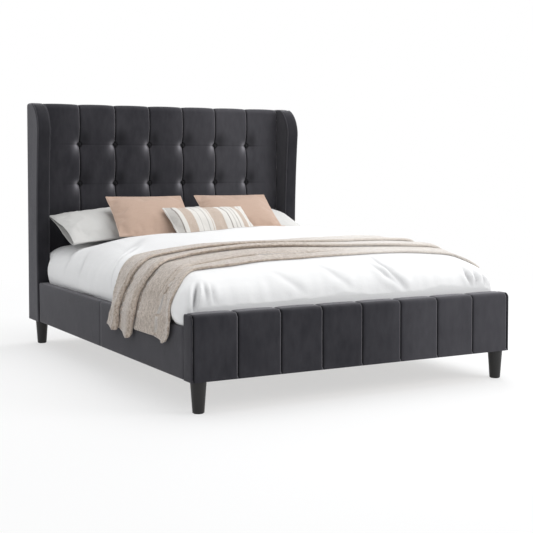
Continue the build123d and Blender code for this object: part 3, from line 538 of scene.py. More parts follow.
for name, side in (("left", -1), ("right", 1)):
    rings = [wing_ring(z, side, inset) for z, inset in wing_levels()]
    wing = piece(name + "_wing_velvet", *ring_loft(rings), "bed_frame", "velvet", velvet,
                 replaced=[name + "_wing_cover"])
    # Painted highlights and painted shade on the wing's velvet.
    mark(wing, "pull", wing_painted_highlight)
    mark(wing, "closed", wing_painted_shade)
    for edge, x in (("inner", wing_low.x + 0.0035), ("outer", wing_high.x - 0.0035)):
        path = []
        for i in range(120):
            share = 1 - (1 - i / 119) ** 1.8
            z = wing_low.z + 0.002 + (wing_high.z - 0.007 - wing_low.z - 0.002) * share
            path.append((side * x, wing_edge(z) + 0.0055, z))
        welt = piece(f"{name}_wing_{edge}_welt", *tube(path, WELT_RADIUS), "bed_frame", "velvet", velvet)
        # A painted highlight along the welt.
        mark(welt, "pull", lambda at: WELT_LIGHT)

# Footboard
# A low board covered like the headboard: eight channels whose seams run up the face and over the top,
# plain padded ends with a soft corner, and no buttons.

FOOT_CHANNELS = 8
FOOT_COLUMNS = 32
FOOT_SEAM_DEPTH = 0.007
FOOT_SEAM_WIDTH = 0.0035
FOOT_ROUND = 0.022
FOOT_BACK_ROUND = 0.011
FOOT_END_ROUND = 0.010
FOOT_PINCH = 0.004
FOOT_RIPPLE = 0.0008
FOOT_ROWS = 26
# Painted highlights: along the footboard's top, on its ends, beside its seams, and a painted brightening towards the
# right.
FOOT_TOP_LIGHT, FOOT_TOP_WIDTH = 0.13, 0.007
FOOT_END_LIGHT = 0.05
FOOT_SEAM_LIGHT, FOOT_SEAM_LIGHT_AT, FOOT_SEAM_LIGHT_WIDTH = 0.30, -0.0056, 0.0030
FOOT_RIGHT_LIGHT, FOOT_RIGHT_FROM, FOOT_RIGHT_RUN = 0.10, 0.05, 0.3

foot_low, foot_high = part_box("footboard_pad")
foot_board_low, foot_board_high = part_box("footboard_face_board")
foot_inner = foot_high.x - FOOT_END_ROUND
foot_pitch = 2 * foot_inner / FOOT_CHANNELS


def foot_dent(x, height):
    """How far the footboard's face lies back at a place."""
    seam, across = seam_share(x, -foot_inner, foot_pitch, FOOT_SEAM_WIDTH)
    dent = FOOT_SEAM_DEPTH * (0.45 * abs(across) ** 2.8 + 0.75 * abs(across) ** 18) + FOOT_PINCH * seam
    dent += 0.0005 * bell(1 - abs(across), 0.12) * math.sin(height * 380 + 4 * wobble(x, 0, height, 8))
    return dent + FOOT_RIPPLE * wobble(x, 1, height, 5, 5.0)


def foot_ring(x, end, pocket):
    """The footboard side on at one place, drawn in by end at its corner. pocket is the depth of its hollow back."""
    inset = FOOT_END_ROUND - math.sqrt(max(0.0, FOOT_END_ROUND**2 - (FOOT_END_ROUND * end) ** 2))
    front, back, top = foot_low.y + inset, foot_high.y - inset, foot_high.z - inset
    flat = 1 - end
    ring = [(x, front, foot_low.z + 0.0006)]
    for i in range(1, FOOT_ROWS + 1):
        z = foot_low.z + 0.003 + (top - FOOT_ROUND - foot_low.z - 0.003) * i / FOOT_ROWS
        ring.append((x, front + flat * foot_dent(x, z), z))
    edge = flat * foot_dent(x, top - FOOT_ROUND)
    drop = 0.75 * edge
    ring += over_top(x, front, top, FOOT_ROUND, edge, drop, 10)
    for i in range(1, 7):
        y = front + FOOT_ROUND + (back - FOOT_BACK_ROUND - front - FOOT_ROUND) * i / 6
        ring.append((x, y, top - drop))
    for turn in quarter(6, 1):
        ring.append((x, back - FOOT_BACK_ROUND + FOOT_BACK_ROUND * math.sin(turn),
                     top - drop - FOOT_BACK_ROUND + FOOT_BACK_ROUND * math.cos(turn)))
    lip = foot_board_high.z + 0.0005
    ring += [(x, back, (top + lip) / 2), (x, back, lip), (x, back - pocket, lip),
             (x, back - pocket, foot_low.z + 0.0006)]
    return ring


def foot_end(side):
    """The rings of one rounded end of the footboard, from its channels outward."""
    return [foot_ring(side * (foot_high.x - FOOT_END_ROUND * (1 - math.sin(turn))), math.sin(turn), 0.0)
            for turn in quarter(6, 1)]


foot_depth = foot_high.y - foot_board_low.y
foot_places = channel_places(-foot_inner, foot_inner, FOOT_CHANNELS, FOOT_COLUMNS)
pocket_x = foot_board_high.x + 0.0005
foot_rings = foot_end(-1)[::-1]
foot_rings += [foot_ring(x, 0, foot_depth if abs(x) < pocket_x else 0.0) for x in foot_places]
foot_rings += foot_end(1)
footboard = piece("footboard_velvet", *ring_loft(foot_rings), "bed_frame", "velvet", velvet,
                  replaced=["footboard_pad"])


def foot_painted_highlight(at):
    """Painted highlights on the footboard: beside its seams, along its top, on its ends, and a painted brightening
    towards the right.
    """
    pull = FOOT_TOP_LIGHT * bell(foot_high.z - at.z, FOOT_TOP_WIDTH)
    pull += FOOT_END_LIGHT * (abs(at.x) > foot_high.x - 0.004)
    if abs(at.x) < foot_inner:
        pull += FOOT_SEAM_LIGHT * beside_seam(at.x, -foot_inner, foot_pitch, FOOT_SEAM_LIGHT_AT, FOOT_SEAM_LIGHT_WIDTH)
    return pull + FOOT_RIGHT_LIGHT * ramp(at.x - FOOT_RIGHT_FROM, FOOT_RIGHT_RUN)


def foot_painted_shade(at):
    """Painted shade in the footboard's seams."""
    if abs(at.x) >= foot_inner + 0.003:
        return 0.0
    return SEAM_SHADE * beside_seam(at.x, -foot_inner, foot_pitch, SEAM_SHADE_AT, SEAM_SHADE_WIDTH)


# Painted highlights and painted shade on the footboard's velvet.
mark(footboard, "pull", foot_painted_highlight)
mark(footboard, "closed", foot_painted_shade)

# Side rails
# Timber rails in two halves, each wrapped in velvet over thin foam. The fabric is pulled round the long
# edges and stapled inside, so it is smooth, with slight slackness and a small fold at each end.

RAIL_EDGE = 0.008
RAIL_ROWS = 90
RAIL_SLACK = 0.0011
RAIL_DRAW = 0.002
RAIL_DRAW_RUN = 0.004
# A painted highlight over the rail covers, stronger along their top edge.
RAIL_LIGHT, RAIL_TOP_LIGHT, RAIL_TOP_WIDTH = 0.13, 0.07, 0.01


def corner(x, y, radius, number, steps):
    """Points round one corner of a cut: a quarter turn that starts after so many others."""
    turns = [math.pi / 2 * (number + i / steps) for i in range(steps + 1)]
    return [(x + radius * math.cos(turn), y + radius * math.sin(turn)) for turn in turns]


def rail_ring(y, side, low, high, end):
    """The cover cut across at one place: round its long edges, drawn in a little at its ends."""
    draw, radius = RAIL_DRAW * end, RAIL_EDGE
    inner = min(abs(low.x), abs(high.x)) + 0.0003
    outer = max(abs(low.x), abs(high.x)) - draw
    bottom, top = low.z + draw / 2, high.z - draw
    width, height = outer - inner - 2 * radius, top - bottom - 2 * radius
    corners = ((outer - radius, top - radius, -width, 0), (inner + radius, top - radius, 0, -height),
               (inner + radius, bottom + radius, width, 0), (outer - radius, bottom + radius, 0, height))
    ring = []
    for number, (x, z, right, up) in enumerate(corners):
        ring += corner(x, z, radius, number, 6)
        edge_x, edge_z = ((x, top), (inner, z), (x, bottom), (outer, z))[number]
        for i in range(1, 8):
            share = i / 8
            at_x, at_z = edge_x + right * share, edge_z + up * share
            if number == 3:
                at_x += RAIL_SLACK * math.sin(math.pi * share) * wobble(side, y, at_z, 4, 9.0) - 0.0006
            ring.append((at_x, at_z))
    return [(side * x, y, z) for x, z in ring]


for name, side in (("left", -1), ("right", 1)):
    for half in ("foot", "head"):
        node = f"{name}_rail_cover_{half}"
        low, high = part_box(node)
        rings = []
        for i in range(RAIL_ROWS + 1):
            y = low.y + (high.y - low.y) * i / RAIL_ROWS
            end = math.exp(-min(y - low.y, high.y - y) / RAIL_DRAW_RUN)
            rings.append(rail_ring(y, side, low, high, end))
        if half == "head":
            rings = [[(x, min(y, wing_edge(z) - 0.0008), z) for x, y, z in ring] for ring in rings]
        rail = piece(f"{name}_rail_velvet_{half}", *ring_loft(rings), "bed_frame", "velvet", velvet,
                     replaced=[node])
        # A painted highlight over the rail cover, stronger along its top edge.
        mark(rail, "pull", lambda at: RAIL_LIGHT + RAIL_TOP_LIGHT * bell(at.z - high.z, RAIL_TOP_WIDTH))

# Legs
# Round tapered beech, turned and stained near black, under satin lacquer. Each is screwed to its corner of
# the frame with a hanger bolt and stands on a glide.

LEG_STAIN = (0.008, 0.0078, 0.0078)
LEG_STAIN_LIGHT = (0.020, 0.0185, 0.0178)


def leg_finish():
    """Dark stain that lets a little of the grain and its flecks through."""
    stain = Finish("stained_beech", Specular_IOR_Level=0.35, Coat_Weight=0.08, Coat_Roughness=0.35)
    grain = stain.grain(60.0, detail=5.0, stretch=(6.0, 6.0, 0.5))
    flecks = stain.between(stain.grain(420.0, detail=2.0, stretch=(4.0, 4.0, 0.35)), 0.58, 0.75)
    colour = stain.blend(grain * 0.7 + flecks * 0.3, LEG_STAIN, LEG_STAIN_LIGHT)
    return stain.paint(colour, roughness=stain.between(grain, 0.2, 0.8, 0.34, 0.5), bump=grain, depth=0.0006,
                       strength=0.25)


def finish_nodes(material, *words):
    """Gives the frame's own pieces a material: every node whose name holds one of the words."""
    for name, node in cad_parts.items():
        if any(word in name for word in words):
            for slot in node.material_slots:
                slot.material = material


finish_nodes(leg_finish(), "_foot_leg", "_head_leg", "centre_leg")

# Inner frame
# Pine rails, cores and ledges, birch slats on webbing, hardboard faces, a black steel beam with its plates
# and bolts, and a black lining stapled over the back.


def timber_finish(name, pale, dark, ring_scale, gloss):
    """Planed wood: grain lines drawn out along the piece, with darker rings and fine pores."""
    wood = Finish(name)
    bent = wood.grain(9.0, detail=2.0, stretch=(1.0, 0.35, 1.0))
    rings = wood.node("TexWave", {"wave_type": "BANDS", "bands_direction": "Z"}, Vector=wood.place * (1.0, 0.12, 1.0),
                      Scale=ring_scale, Distortion=4.0, Detail=3.0, Detail_Scale=1.2)
    pores = wood.grain(700.0, detail=2.0, stretch=(1.0, 0.06, 1.0))
    shade = rings * 0.45 + bent * 0.35 + pores * 0.25
    return wood.paint(wood.blend(shade, pale, dark), roughness=wood.between(pores, 0.2, 0.8, gloss, gloss + 0.15),
                      bump=pores, depth=0.0005, strength=0.3)


def steel_finish():
    """Black powder coat: fine orange peel, with grey scuffs."""
    steel = Finish("powder_coat", Specular_IOR_Level=0.5)
    peel = steel.grain(900.0, detail=1.0)
    scuffs = steel.between(steel.grain(35.0, detail=6.0, rough=0.7), 0.62, 0.7)
    colour = steel.blend(scuffs, (0.03, 0.03, 0.032), (0.09, 0.09, 0.092))
    return steel.paint(colour, roughness=steel.between(peel, 0.3, 0.7, 0.38, 0.5), bump=peel, depth=0.0003,
                       strength=0.4)


def woven_finish(name, pale, dark, threads, rough=0.85):
    """A plain cloth seen close: crossed threads with uneven thickness."""
    cloth = Finish(name, roughness=rough, Sheen_Weight=0.1)
    uneven = cloth.grain(240.0, detail=2.0)
    up = cloth.node("TexWave", {"wave_type": "BANDS", "bands_direction": "X"}, Vector=cloth.place, Scale=threads,
                    Distortion=0.6, Detail=1.0)
    over = cloth.node("TexWave", {"wave_type": "BANDS", "bands_direction": "DIAGONAL"}, Vector=cloth.place,
                      Scale=threads, Distortion=0.6, Detail=1.0)
    weave = up * over
    return cloth.paint(cloth.blend(weave * 0.6 + uneven * 0.5, dark, pale), bump=weave, depth=0.0006, strength=0.5)


finish_nodes(timber_finish("pine", (0.62, 0.46, 0.28), (0.42, 0.27, 0.13), 14.0, 0.55),
             "headboard_frame", "footboard_frame", "wing_frame", "rail_board", "slat_ledge")
finish_nodes(timber_finish("birch", (0.72, 0.57, 0.38), (0.55, 0.40, 0.24), 22.0, 0.42), "slat_0", "slat_1")
finish_nodes(timber_finish("hardboard", (0.36, 0.24, 0.14), (0.27, 0.17, 0.09), 60.0, 0.6), "face_board")
finish_nodes(steel_finish(), "rail_plates", "corner_brackets", "frame_bolts", "beam_hangers", "centre_beam")
finish_nodes(woven_finish("webbing", (0.72, 0.70, 0.65), (0.5, 0.48, 0.44), 300.0), "slat_straps")
finish_nodes(woven_finish("lining", (0.045, 0.045, 0.047), (0.02, 0.02, 0.021), 420.0), "back_cover")
# A darker copy of the velvet for the covered buttons: painted shade for the hollows they sit in.
shaded_button_velvet = velvet_finish("shaded_button_velvet", (0.006, 0.006, 0.007), (0.045, 0.044, 0.050))
finish_nodes(shaded_button_velvet, "headboard_buttons")

glide = Finish("glide_plastic", roughness=0.5)
glide_grain = glide.grain(500.0)
glide.paint(glide.blend(glide_grain, (0.022, 0.022, 0.023), (0.034, 0.034, 0.035)), bump=glide_grain, depth=0.0003,
            strength=0.3)
finish_nodes(glide.material, "leg_glides", "levelling_foot")

# Mattress
# A deep mattress in white ticking: both faces quilted in diamonds, a plain border, and a tape sewn round
# each edge of it.

MATTRESS_EDGE = 0.045
MATTRESS_STEP = 0.02
QUILT_PITCH = 0.13
QUILT_DEPTH = 0.007
QUILT_FACE = 0.02
UNDER_QUILT = 0.3
TICKING_IN_LOW, TICKING_IN_HIGH = Vector((0.002, 0.016, 0.0006)), Vector((0.002, 0.002, 0.002))
TAPE_RADIUS = 0.0045
TAPE_IN = Vector((0.004, 0.004, 0))
TAPE_LEVEL = 0.75


def rounded_box(low, high, radius, step):
    """Points and quads of a box whose edges are all round."""
    middle, half = (low + high) / 2, (high - low) / 2
    points, faces = [], []
    for axis in range(3):
        across, along = (axis + 1) % 3, (axis + 2) % 3
        counts = [max(6, round(2 * half[k] / step)) for k in (across, along)]
        for sign in (-1, 1):
            start = len(points)
            for i in range(counts[0] + 1):
                for j in range(counts[1] + 1):
                    at = Vector((0, 0, 0))
                    at[axis] = sign * half[axis]
                    at[across] = half[across] * -math.cos(math.pi * i / counts[0]) if counts[0] < 16 else \
                        half[across] * (2 * i / counts[0] - 1)
                    at[along] = half[along] * (2 * j / counts[1] - 1)
                    core = Vector([min(max(at[k], radius - half[k]), half[k] - radius) for k in range(3)])
                    out = at - core
                    points.append(middle + core + out * (radius / out.length))
            for i in range(counts[0]):
                for j in range(counts[1]):
                    a = start + i * (counts[1] + 1) + j
                    faces.append((a, a + 1, a + counts[1] + 2, a + counts[1] + 1))
    return points, faces


def ticking_finish():
    """Soft white knitted ticking with a small damask fleck."""
    ticking = Finish("ticking", roughness=0.85, Sheen_Weight=0.15)
    fleck = ticking.between(ticking.grain(160.0, detail=1.0), 0.48, 0.56)
    knit = ticking.grain(1100.0, detail=2.0)
    colour = ticking.blend(fleck * 0.4 + knit * 0.3, (0.80, 0.80, 0.785), (0.68, 0.68, 0.675))
    return ticking.paint(colour, bump=knit + fleck * 0.3, depth=0.0006, strength=0.35)


bed_low, bed_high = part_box("mattress")
ticking = ticking_finish()
tick_low, tick_high = bed_low + TICKING_IN_LOW, bed_high - TICKING_IN_HIGH
box_points, box_faces = rounded_box(tick_low, tick_high, MATTRESS_EDGE, MATTRESS_STEP)
quilted = []
for at in box_points:
    on_face = min((at.z - bed_low.z), (bed_high.z - at.z)) < QUILT_FACE
    a = (at.x + at.y) / QUILT_PITCH * math.pi
    b = (at.x - at.y) / QUILT_PITCH * math.pi
    dip = QUILT_DEPTH * (1 - (abs(math.sin(a)) * abs(math.sin(b))) ** 0.35) if on_face else 0.0
    under = at.z < (bed_low.z + bed_high.z) / 2
    quilted.append(at + Vector((0, 0, dip * UNDER_QUILT if under else -dip)))
mattress = piece("mattress_ticking", quilted, box_faces, "mattress", "mattress_ticking", ticking,
                 replaced=["mattress"])


def rounded_rectangle(low, high, radius, z, steps=8):
    """A closed path round a rectangle with round corners."""
    corners = ((high.x - radius, high.y - radius), (low.x + radius, high.y - radius),
               (low.x + radius, low.y + radius), (high.x - radius, low.y + radius))
    return [Vector((x, y, z)) for number, (middle_x, middle_y) in enumerate(corners)
            for x, y in corner(middle_x, middle_y, radius, number, steps)]


def loop_tube(path, radius, sides=7):
    """Points and faces of a tube round a closed path."""
    rings = []
    for i, at in enumerate(path):
        ahead = (path[(i + 1) % len(path)] - path[i - 1]).normalized()
        side = ahead.cross(Vector((0, 0, 1)))
        side = side.normalized() if side.length > 1e-4 else Vector((1, 0, 0))
        rings.append(tube_ring(at, ahead, side, radius, sides))
    return ring_loft(rings, closed=True)


for name, z in (("upper", bed_high.z - MATTRESS_EDGE * TAPE_LEVEL), ("lower", bed_low.z + MATTRESS_EDGE * TAPE_LEVEL)):
    around = rounded_rectangle(tick_low + TAPE_IN, tick_high - TAPE_IN, MATTRESS_EDGE, z)
    piece(f"mattress_{name}_tape", *loop_tube(around, TAPE_RADIUS), "mattress", "mattress_ticking", ticking)

# Duvet
# A thick white cotton duvet, full on the right and falling away to the left, tucked behind the footboard
# and lying on the rails' top edges. It is loose, with pulls and creases at the foot corners.

DUVET_PLACES = (0.0, 0.007, 0.016, 0.034, 0.079, 0.15, 0.25, 0.38, 0.53, 0.68, 0.83, 0.92, 0.97, 1.0)
DUVET_TOPS = (0.28, 0.45, 0.56, 0.665, 0.775, 0.86, 0.925, 0.975, 0.998, 1.0, 1.0, 0.985, 0.93, 0.8)
DUVET_FALLS = {-1: (0.03, 0.035, 0.04, 0.05, 0.09, 0.125, 0.17, 0.21, 0.24, 0.26, 0.27, 0.265, 0.25, 0.21),
               1: (0.02, 0.02, 0.025, 0.04, 0.065, 0.055, 0.045, 0.055, 0.055, 0.055, 0.055, 0.055, 0.06, 0.06)}
DUVET_SWELLS = (0.45, 0.75, 0.95, 1.0, 0.5, 0.1, 0.0, 0.0, 0.0, 0.0, 0.0, 0.0, 0.0, 0.0)
DUVET_SHOULDERS = {-1: 0.6463, 1: 0.7142}
DUVET_TURNS = {-1: 0.71, 1: 0.8}
DUVET_LOFT = 0.282
DUVET_WIDEST = 0.7895
DUVET_WIDEST_SHARE = 0.29
DUVET_HEM = 0.7755
DUVET_CORNER_SWELL = 0.048
DUVET_ROWS = 270
DUVET_COLUMNS = 200
DUVET_CLOSE_ROWS = ((1.6, -0.04, 0.10), (1.2, -0.96, 0.06))
DUVET_SOFTENING = 4
DUVET_PUFF, DUVET_LEFT_PUFF, DUVET_PUFF_AT, DUVET_PUFF_LENGTH = 0.026, 0.020, 0.27, 0.24
DUVET_LIP_AT, DUVET_LIP_WIDTH = 2.2, 1.4
# Painted shade over the duvet's upper side.
DUVET_TOP_SHADE, DUVET_TOP_SHADE_FROM, DUVET_TOP_SHADE_RUN = 0.40, 0.50, 0.09
DUVET_UNDER_THROW = 0.8
HOLLOW_GAP = 0.004
HOLLOW_HEAD_GAP = 0.0025
HOLLOW_EDGE = 0.07
COTTON = (0.85, 0.85, 0.85)
COTTON_SHADE = (0.80, 0.80, 0.802)
FOLD_SHADE = (0.30, 0.30, 0.31)
# Each crease: its width, its depth, how much its lips stand up, and the line it takes.
DUVET_CREASES = (
    (0.0085, 0.012, 0.8, ((-0.555, 0.085, 0.570), (-0.614, 0.027, 0.559), (-0.679, -0.035, 0.547),
                          (-0.707, -0.056, 0.539), (-0.741, -0.081, 0.516), (-0.762, -0.096, 0.489),
                          (-0.776, -0.104, 0.460), (-0.783, -0.109, 0.434), (-0.788, -0.130, 0.410))),
    (0.0085, 0.016, 0.7, ((-0.722, -0.915, 0.524), (-0.731, -0.935, 0.510), (-0.746, -0.958, 0.483),
                          (-0.757, -0.971, 0.452), (-0.767, -0.982, 0.414), (-0.769, -0.985, 0.385))),
    (0.010, 0.010, 0.6, ((-0.695, -0.925, 0.520), (-0.701, -0.945, 0.508), (-0.705, -0.971, 0.474),
                         (-0.708, -0.986, 0.431))),
    (0.010, 0.008, 0.6, ((-0.668, -0.930, 0.518), (-0.671, -0.947, 0.506), (-0.678, -0.980, 0.465),
                         (-0.673, -0.988, 0.425))),
    (0.014, 0.011, 0.8, ((0.235, -0.77, 0.580), (0.214, -0.885, 0.549), (0.232, -0.953, 0.509),
                         (0.264, -0.971, 0.477), (0.288, -0.984, 0.446), (0.306, -0.990, 0.418))),
    (0.013, 0.009, 0.7, ((0.160, -0.86, 0.56), (0.171, -0.925, 0.536), (0.194, -0.961, 0.507),
                         (0.248, -0.978, 0.465), (0.275, -0.986, 0.44))),
    (0.020, 0.005, 0.6, ((-0.12, -0.85, 0.56), (-0.06, -0.95, 0.51), (0.03, -0.985, 0.44))),
    (0.018, 0.004, 0.6, ((-0.36, -0.88, 0.545), (-0.30, -0.95, 0.50), (-0.22, -0.985, 0.44))),
    (0.011, 0.011, 0.7, ((0.652, -0.915, 0.530), (0.648, -0.941, 0.516), (0.647, -0.972, 0.481),
                         (0.662, -0.990, 0.440), (0.680, -0.990, 0.416))),
    (0.012, 0.009, 0.7, ((0.700, -0.945, 0.52), (0.695, -0.98, 0.46), (0.688, -0.989, 0.42))),
    (0.012, 0.011, 0.7, ((0.745, -0.935, 0.50), (0.751, -0.983, 0.458), (0.749, -0.988, 0.415))),
    (0.025, 0.005, 0.4, ((-0.72, 0.35, 0.545), (-0.775, 0.30, 0.48), (-0.79, 0.33, 0.42))),
    (0.022, 0.004, 0.4, ((-0.70, 0.62, 0.55), (-0.765, 0.55, 0.49), (-0.79, 0.56, 0.42))),
    (0.03, 0.004, 0.3, ((-0.45, 0.22, 0.605), (-0.58, 0.10, 0.585), (-0.68, 0.06, 0.555))),
)


def smooth_row(places, values):
    """A smooth curve through a row of values that never passes them."""
    places, values = np.array(places, float), np.array(values, float)
    steps = np.diff(places)
    slopes = np.diff(values) / steps
    lean = np.zeros(len(places))
    lean[0], lean[-1] = slopes[0], slopes[-1]
    for i in range(1, len(places) - 1):
        if slopes[i - 1] * slopes[i] > 0:
            a, b = 2 * steps[i] + steps[i - 1], steps[i] + 2 * steps[i - 1]
            lean[i] = (a + b) / (a / slopes[i - 1] + b / slopes[i])

    def at(place):
        place = np.clip(place, places[0], places[-1])
        i = np.clip(np.searchsorted(places, place, side="right") - 1, 0, len(steps) - 1)
        t = (place - places[i]) / steps[i]
        return ((1 + 2 * t) * (1 - t) ** 2 * values[i] + t * (1 - t) ** 2 * steps[i] * lean[i]
                + t * t * (3 - 2 * t) * values[i + 1] + t * t * (t - 1) * steps[i] * lean[i + 1])

    return at


duvet_low, duvet_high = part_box("duvet")
rail_top = duvet_low.z
duvet_length = duvet_high.y - duvet_low.y
top_at = smooth_row(DUVET_PLACES, DUVET_TOPS)
fall_at = {side: smooth_row(DUVET_PLACES, DUVET_FALLS[side]) for side in (-1, 1)}
swell_at = smooth_row(DUVET_PLACES, DUVET_SWELLS)


def arc_points(start, middle, end, count):
    """Points along the circle through three points."""
    (cx, cy), radius = arc_through(start, middle, end)
    turns = [math.atan2(y - cy, x - cx) for x, y in (start, middle, end)]
    for i in (1, 2):
        while turns[i] - turns[i - 1] > math.pi:
            turns[i] -= 2 * math.pi
        while turns[i] - turns[i - 1] < -math.pi:
            turns[i] += 2 * math.pi
    return [(cx + radius * math.cos(t), cy + radius * math.sin(t)) for t in np.linspace(turns[0], turns[2], count)]


def duvet_side(share, side):
    """The duvet's outline down one side at a share of its length: shoulder, turn, widest, waist and hem."""
    swell = DUVET_CORNER_SWELL * float(swell_at(share)) if side < 0 else 0.0
    shoulder_z = rail_top + DUVET_LOFT * (float(top_at(share)) - float(fall_at[side](share)))
    widest_z = rail_top + DUVET_WIDEST_SHARE * (shoulder_z - rail_top)
    widest, hem, shoulder = DUVET_WIDEST + swell, DUVET_HEM + 0.7 * swell, DUVET_SHOULDERS[side]
    turn = (shoulder + 0.71 * (widest - shoulder), shoulder_z - (1 - DUVET_TURNS[side]) * (shoulder_z - widest_z))
    return [(side * x, z) for x, z in ((shoulder, shoulder_z), turn, (widest, widest_z),
                                       (widest - 0.29 * (widest - hem), (widest_z + rail_top) / 2), (hem, rail_top))]


def runs_along(points):
    """How far along a line each of its points is."""
    return np.concatenate([[0], np.cumsum(np.linalg.norm(np.diff(points, axis=0), axis=1))])


def evenly(points, count):
    """The same line with its points evenly spaced."""
    points = np.array(points)
    run = runs_along(points)
    return np.stack([np.interp(np.linspace(0, run[-1], count), run, points[:, k]) for k in range(points.shape[1])], 1)


def duvet_outline(share, count):
    """The duvet cut across, from its left hem over the top to its right hem."""
    left, right = duvet_side(share, -1), duvet_side(share, 1)
    crown = (0.0, rail_top + DUVET_LOFT * float(top_at(share)))
    corners = [left[4], left[2], left[0], right[0], right[2], right[4]]
    middles = [left[3], left[1], crown, right[1], right[3]]
    line = []
    for k, points in enumerate((14, 30, 90, 30, 14)):
        line += arc_points(corners[k], middles[k], corners[k + 1], points)[min(k, 1):]
    return evenly(line, count)


def bells(away, width):
    """bell() for a whole array."""
    return np.exp(-(away / width) ** 2)


def ramps(past, run):
    """ramp() for a whole array."""
    return np.clip(past / run, 0, 1)


def soften(rows):
    """Draws each row of an array towards the rows beside it, except for the first and the last."""
    rows[1:-1] = 0.25 * rows[:-2] + 0.5 * rows[1:-1] + 0.25 * rows[2:]


fine = np.linspace(0, 1, 2000)
along_bed = np.stack([fine * duvet_length, DUVET_LOFT * top_at(fine)], 1)
row_gaps = np.linalg.norm(np.diff(along_bed, axis=0), axis=1)
row_weights = np.ones(len(row_gaps))
for extra, y, width in DUVET_CLOSE_ROWS:
    row_weights += extra * bells(duvet_low.y + duvet_length * fine[1:] - y, width)
weighted = np.concatenate([[0], np.cumsum(row_gaps * row_weights)])
duvet_shares = np.interp(np.linspace(0, weighted[-1], DUVET_ROWS), weighted, fine)
cover = np.array([[(x, duvet_low.y + duvet_length * share, z) for x, z in duvet_outline(share, DUVET_COLUMNS)]
                  for share in duvet_shares])
for _ in range(DUVET_SOFTENING):
    soften(cover.swapaxes(0, 1))
    soften(cover[:, 1:-1])


def grid_normals(grid):
    """Which way a grid of points faces, at each of them."""
    facing = np.cross(np.gradient(grid, axis=1), np.gradient(grid, axis=0))
    facing /= np.linalg.norm(facing, axis=2, keepdims=True) + 1e-12
    return facing if facing[..., 2].mean() > 0 else -facing


def along_line(grid, line):
    """How far each point of a grid is from a line, and how far along the line it is from 0 to 1."""
    line = np.array(line)
    near = np.full(grid.shape[:2], 1e9)
    along = np.zeros(grid.shape[:2])
    count = len(line) - 1
    for i in range(count):
        run = line[i + 1] - line[i]
        share = np.clip(((grid - line[i]) @ run) / (run @ run), 0, 1)
        away = np.linalg.norm(grid - line[i] - share[..., None] * run, axis=2)
        closer = away < near
        near[closer] = away[closer]
        along[closer] = ((i + share) / count)[closer]
    return near, along


def noise_grid(grid, scale, seed, stretch=(1.0, 1.0, 1.0)):
    """Smooth noise about 0 at each point of a grid."""
    flat = (grid * np.array(stretch) * scale + seed).reshape(-1, 3)
    return np.array([noise.noise(Vector(p)) for p in flat]).reshape(grid.shape[:2])


def crease_fade(along):
    """A crease runs out at both of its ends."""
    return np.sin(np.pi * np.clip(0.5 - 0.5 * np.cos(np.pi * np.clip(along, 0.04, 0.96)), 0, 1)) ** 0.5


def laid(line, grid):
    """A crease's line brought onto the plain form, with its points close together."""
    close = evenly(line, 36)
    flat = grid.reshape(-1, 3)
    shift = np.array([flat[np.argmin(((flat - at) ** 2).sum(axis=1))] for at in close]) - close
    for _ in range(8):
        soften(shift)
    return close + shift


def duvet_relief(grid):
    """How far the duvet's puffs and creases stand out of its plain form, and how much painted shade its creases get."""
    x, y = grid[..., 0], grid[..., 1]
    relief = 0.007 * noise_grid(grid, 2.6, 3.1) + 0.0035 * noise_grid(grid, 6.5, 8.4, (1.0, 0.7, 1.0))
    relief += 0.0035 * ramps(np.abs(x) - 0.62, 0.12) * noise_grid(grid, 9.0, 1.7, (0.5, 2.2, 0.5))
    puff = (DUVET_PUFF + DUVET_LEFT_PUFF * ramps(-0.2 - x, 0.3)) * bells(y - DUVET_PUFF_AT, DUVET_PUFF_LENGTH)
    relief += puff * ramps(0.78 + 0.06 * (x < 0) - np.abs(x), 0.22)
    relief += 0.003 * ramps(-0.80 - y, 0.15) * noise_grid(grid, 10.0, 5.2, (2.4, 0.6, 0.6))
    shadow = np.zeros(grid.shape[:2])
    for width, depth, lip, line in DUVET_CREASES:
        near, along = along_line(grid, laid(line, grid))
        fade = crease_fade(along)
        shadow = np.maximum(shadow, fade * min(depth / 0.012, 1.2) * bells(near, 0.75 * width))
        lips = lip * bells(near - DUVET_LIP_AT * width, DUVET_LIP_WIDTH * width)
        relief += fade * depth * (lips - bells(near, width))
    return relief, shadow


throw_low, throw_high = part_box("throw_blanket")
throw_cover = ramps(cover[..., 1] - throw_low.y + 0.05, 0.08) * ramps(throw_high.y - 0.02 - cover[..., 1], 0.10)
lift, fold_shadow = duvet_relief(cover)
lift *= 1 - DUVET_UNDER_THROW * throw_cover
lift *= ramps(cover[..., 2] - rail_top, 0.03)
cover = cover + grid_normals(cover) * lift[..., None]
cover[..., 1] = np.clip(cover[..., 1], duvet_low.y, duvet_high.y)
cover[..., 2] = np.maximum(cover[..., 2], rail_top)
wing_room = wing_low.x - 0.0006
heights = np.linspace(wing_low.z, wing_high.z, 60)
foremost = [min(wing_edge(h) for h in heights[k:]) for k in range(len(heights))]
for i in range(DUVET_ROWS):
    for j in range(DUVET_COLUMNS):
        x, y, z = cover[i, j]
        into = (y - (float(np.interp(z, heights, foremost)) - 0.026)) / 0.018
        if into > 0 and abs(x) > wing_room:
            ease = min(into, 1.0)
            ease = ease * ease * (3 - 2 * ease)
            cover[i, j, 0] = math.copysign(abs(x) + (wing_room - abs(x)) * ease, x)

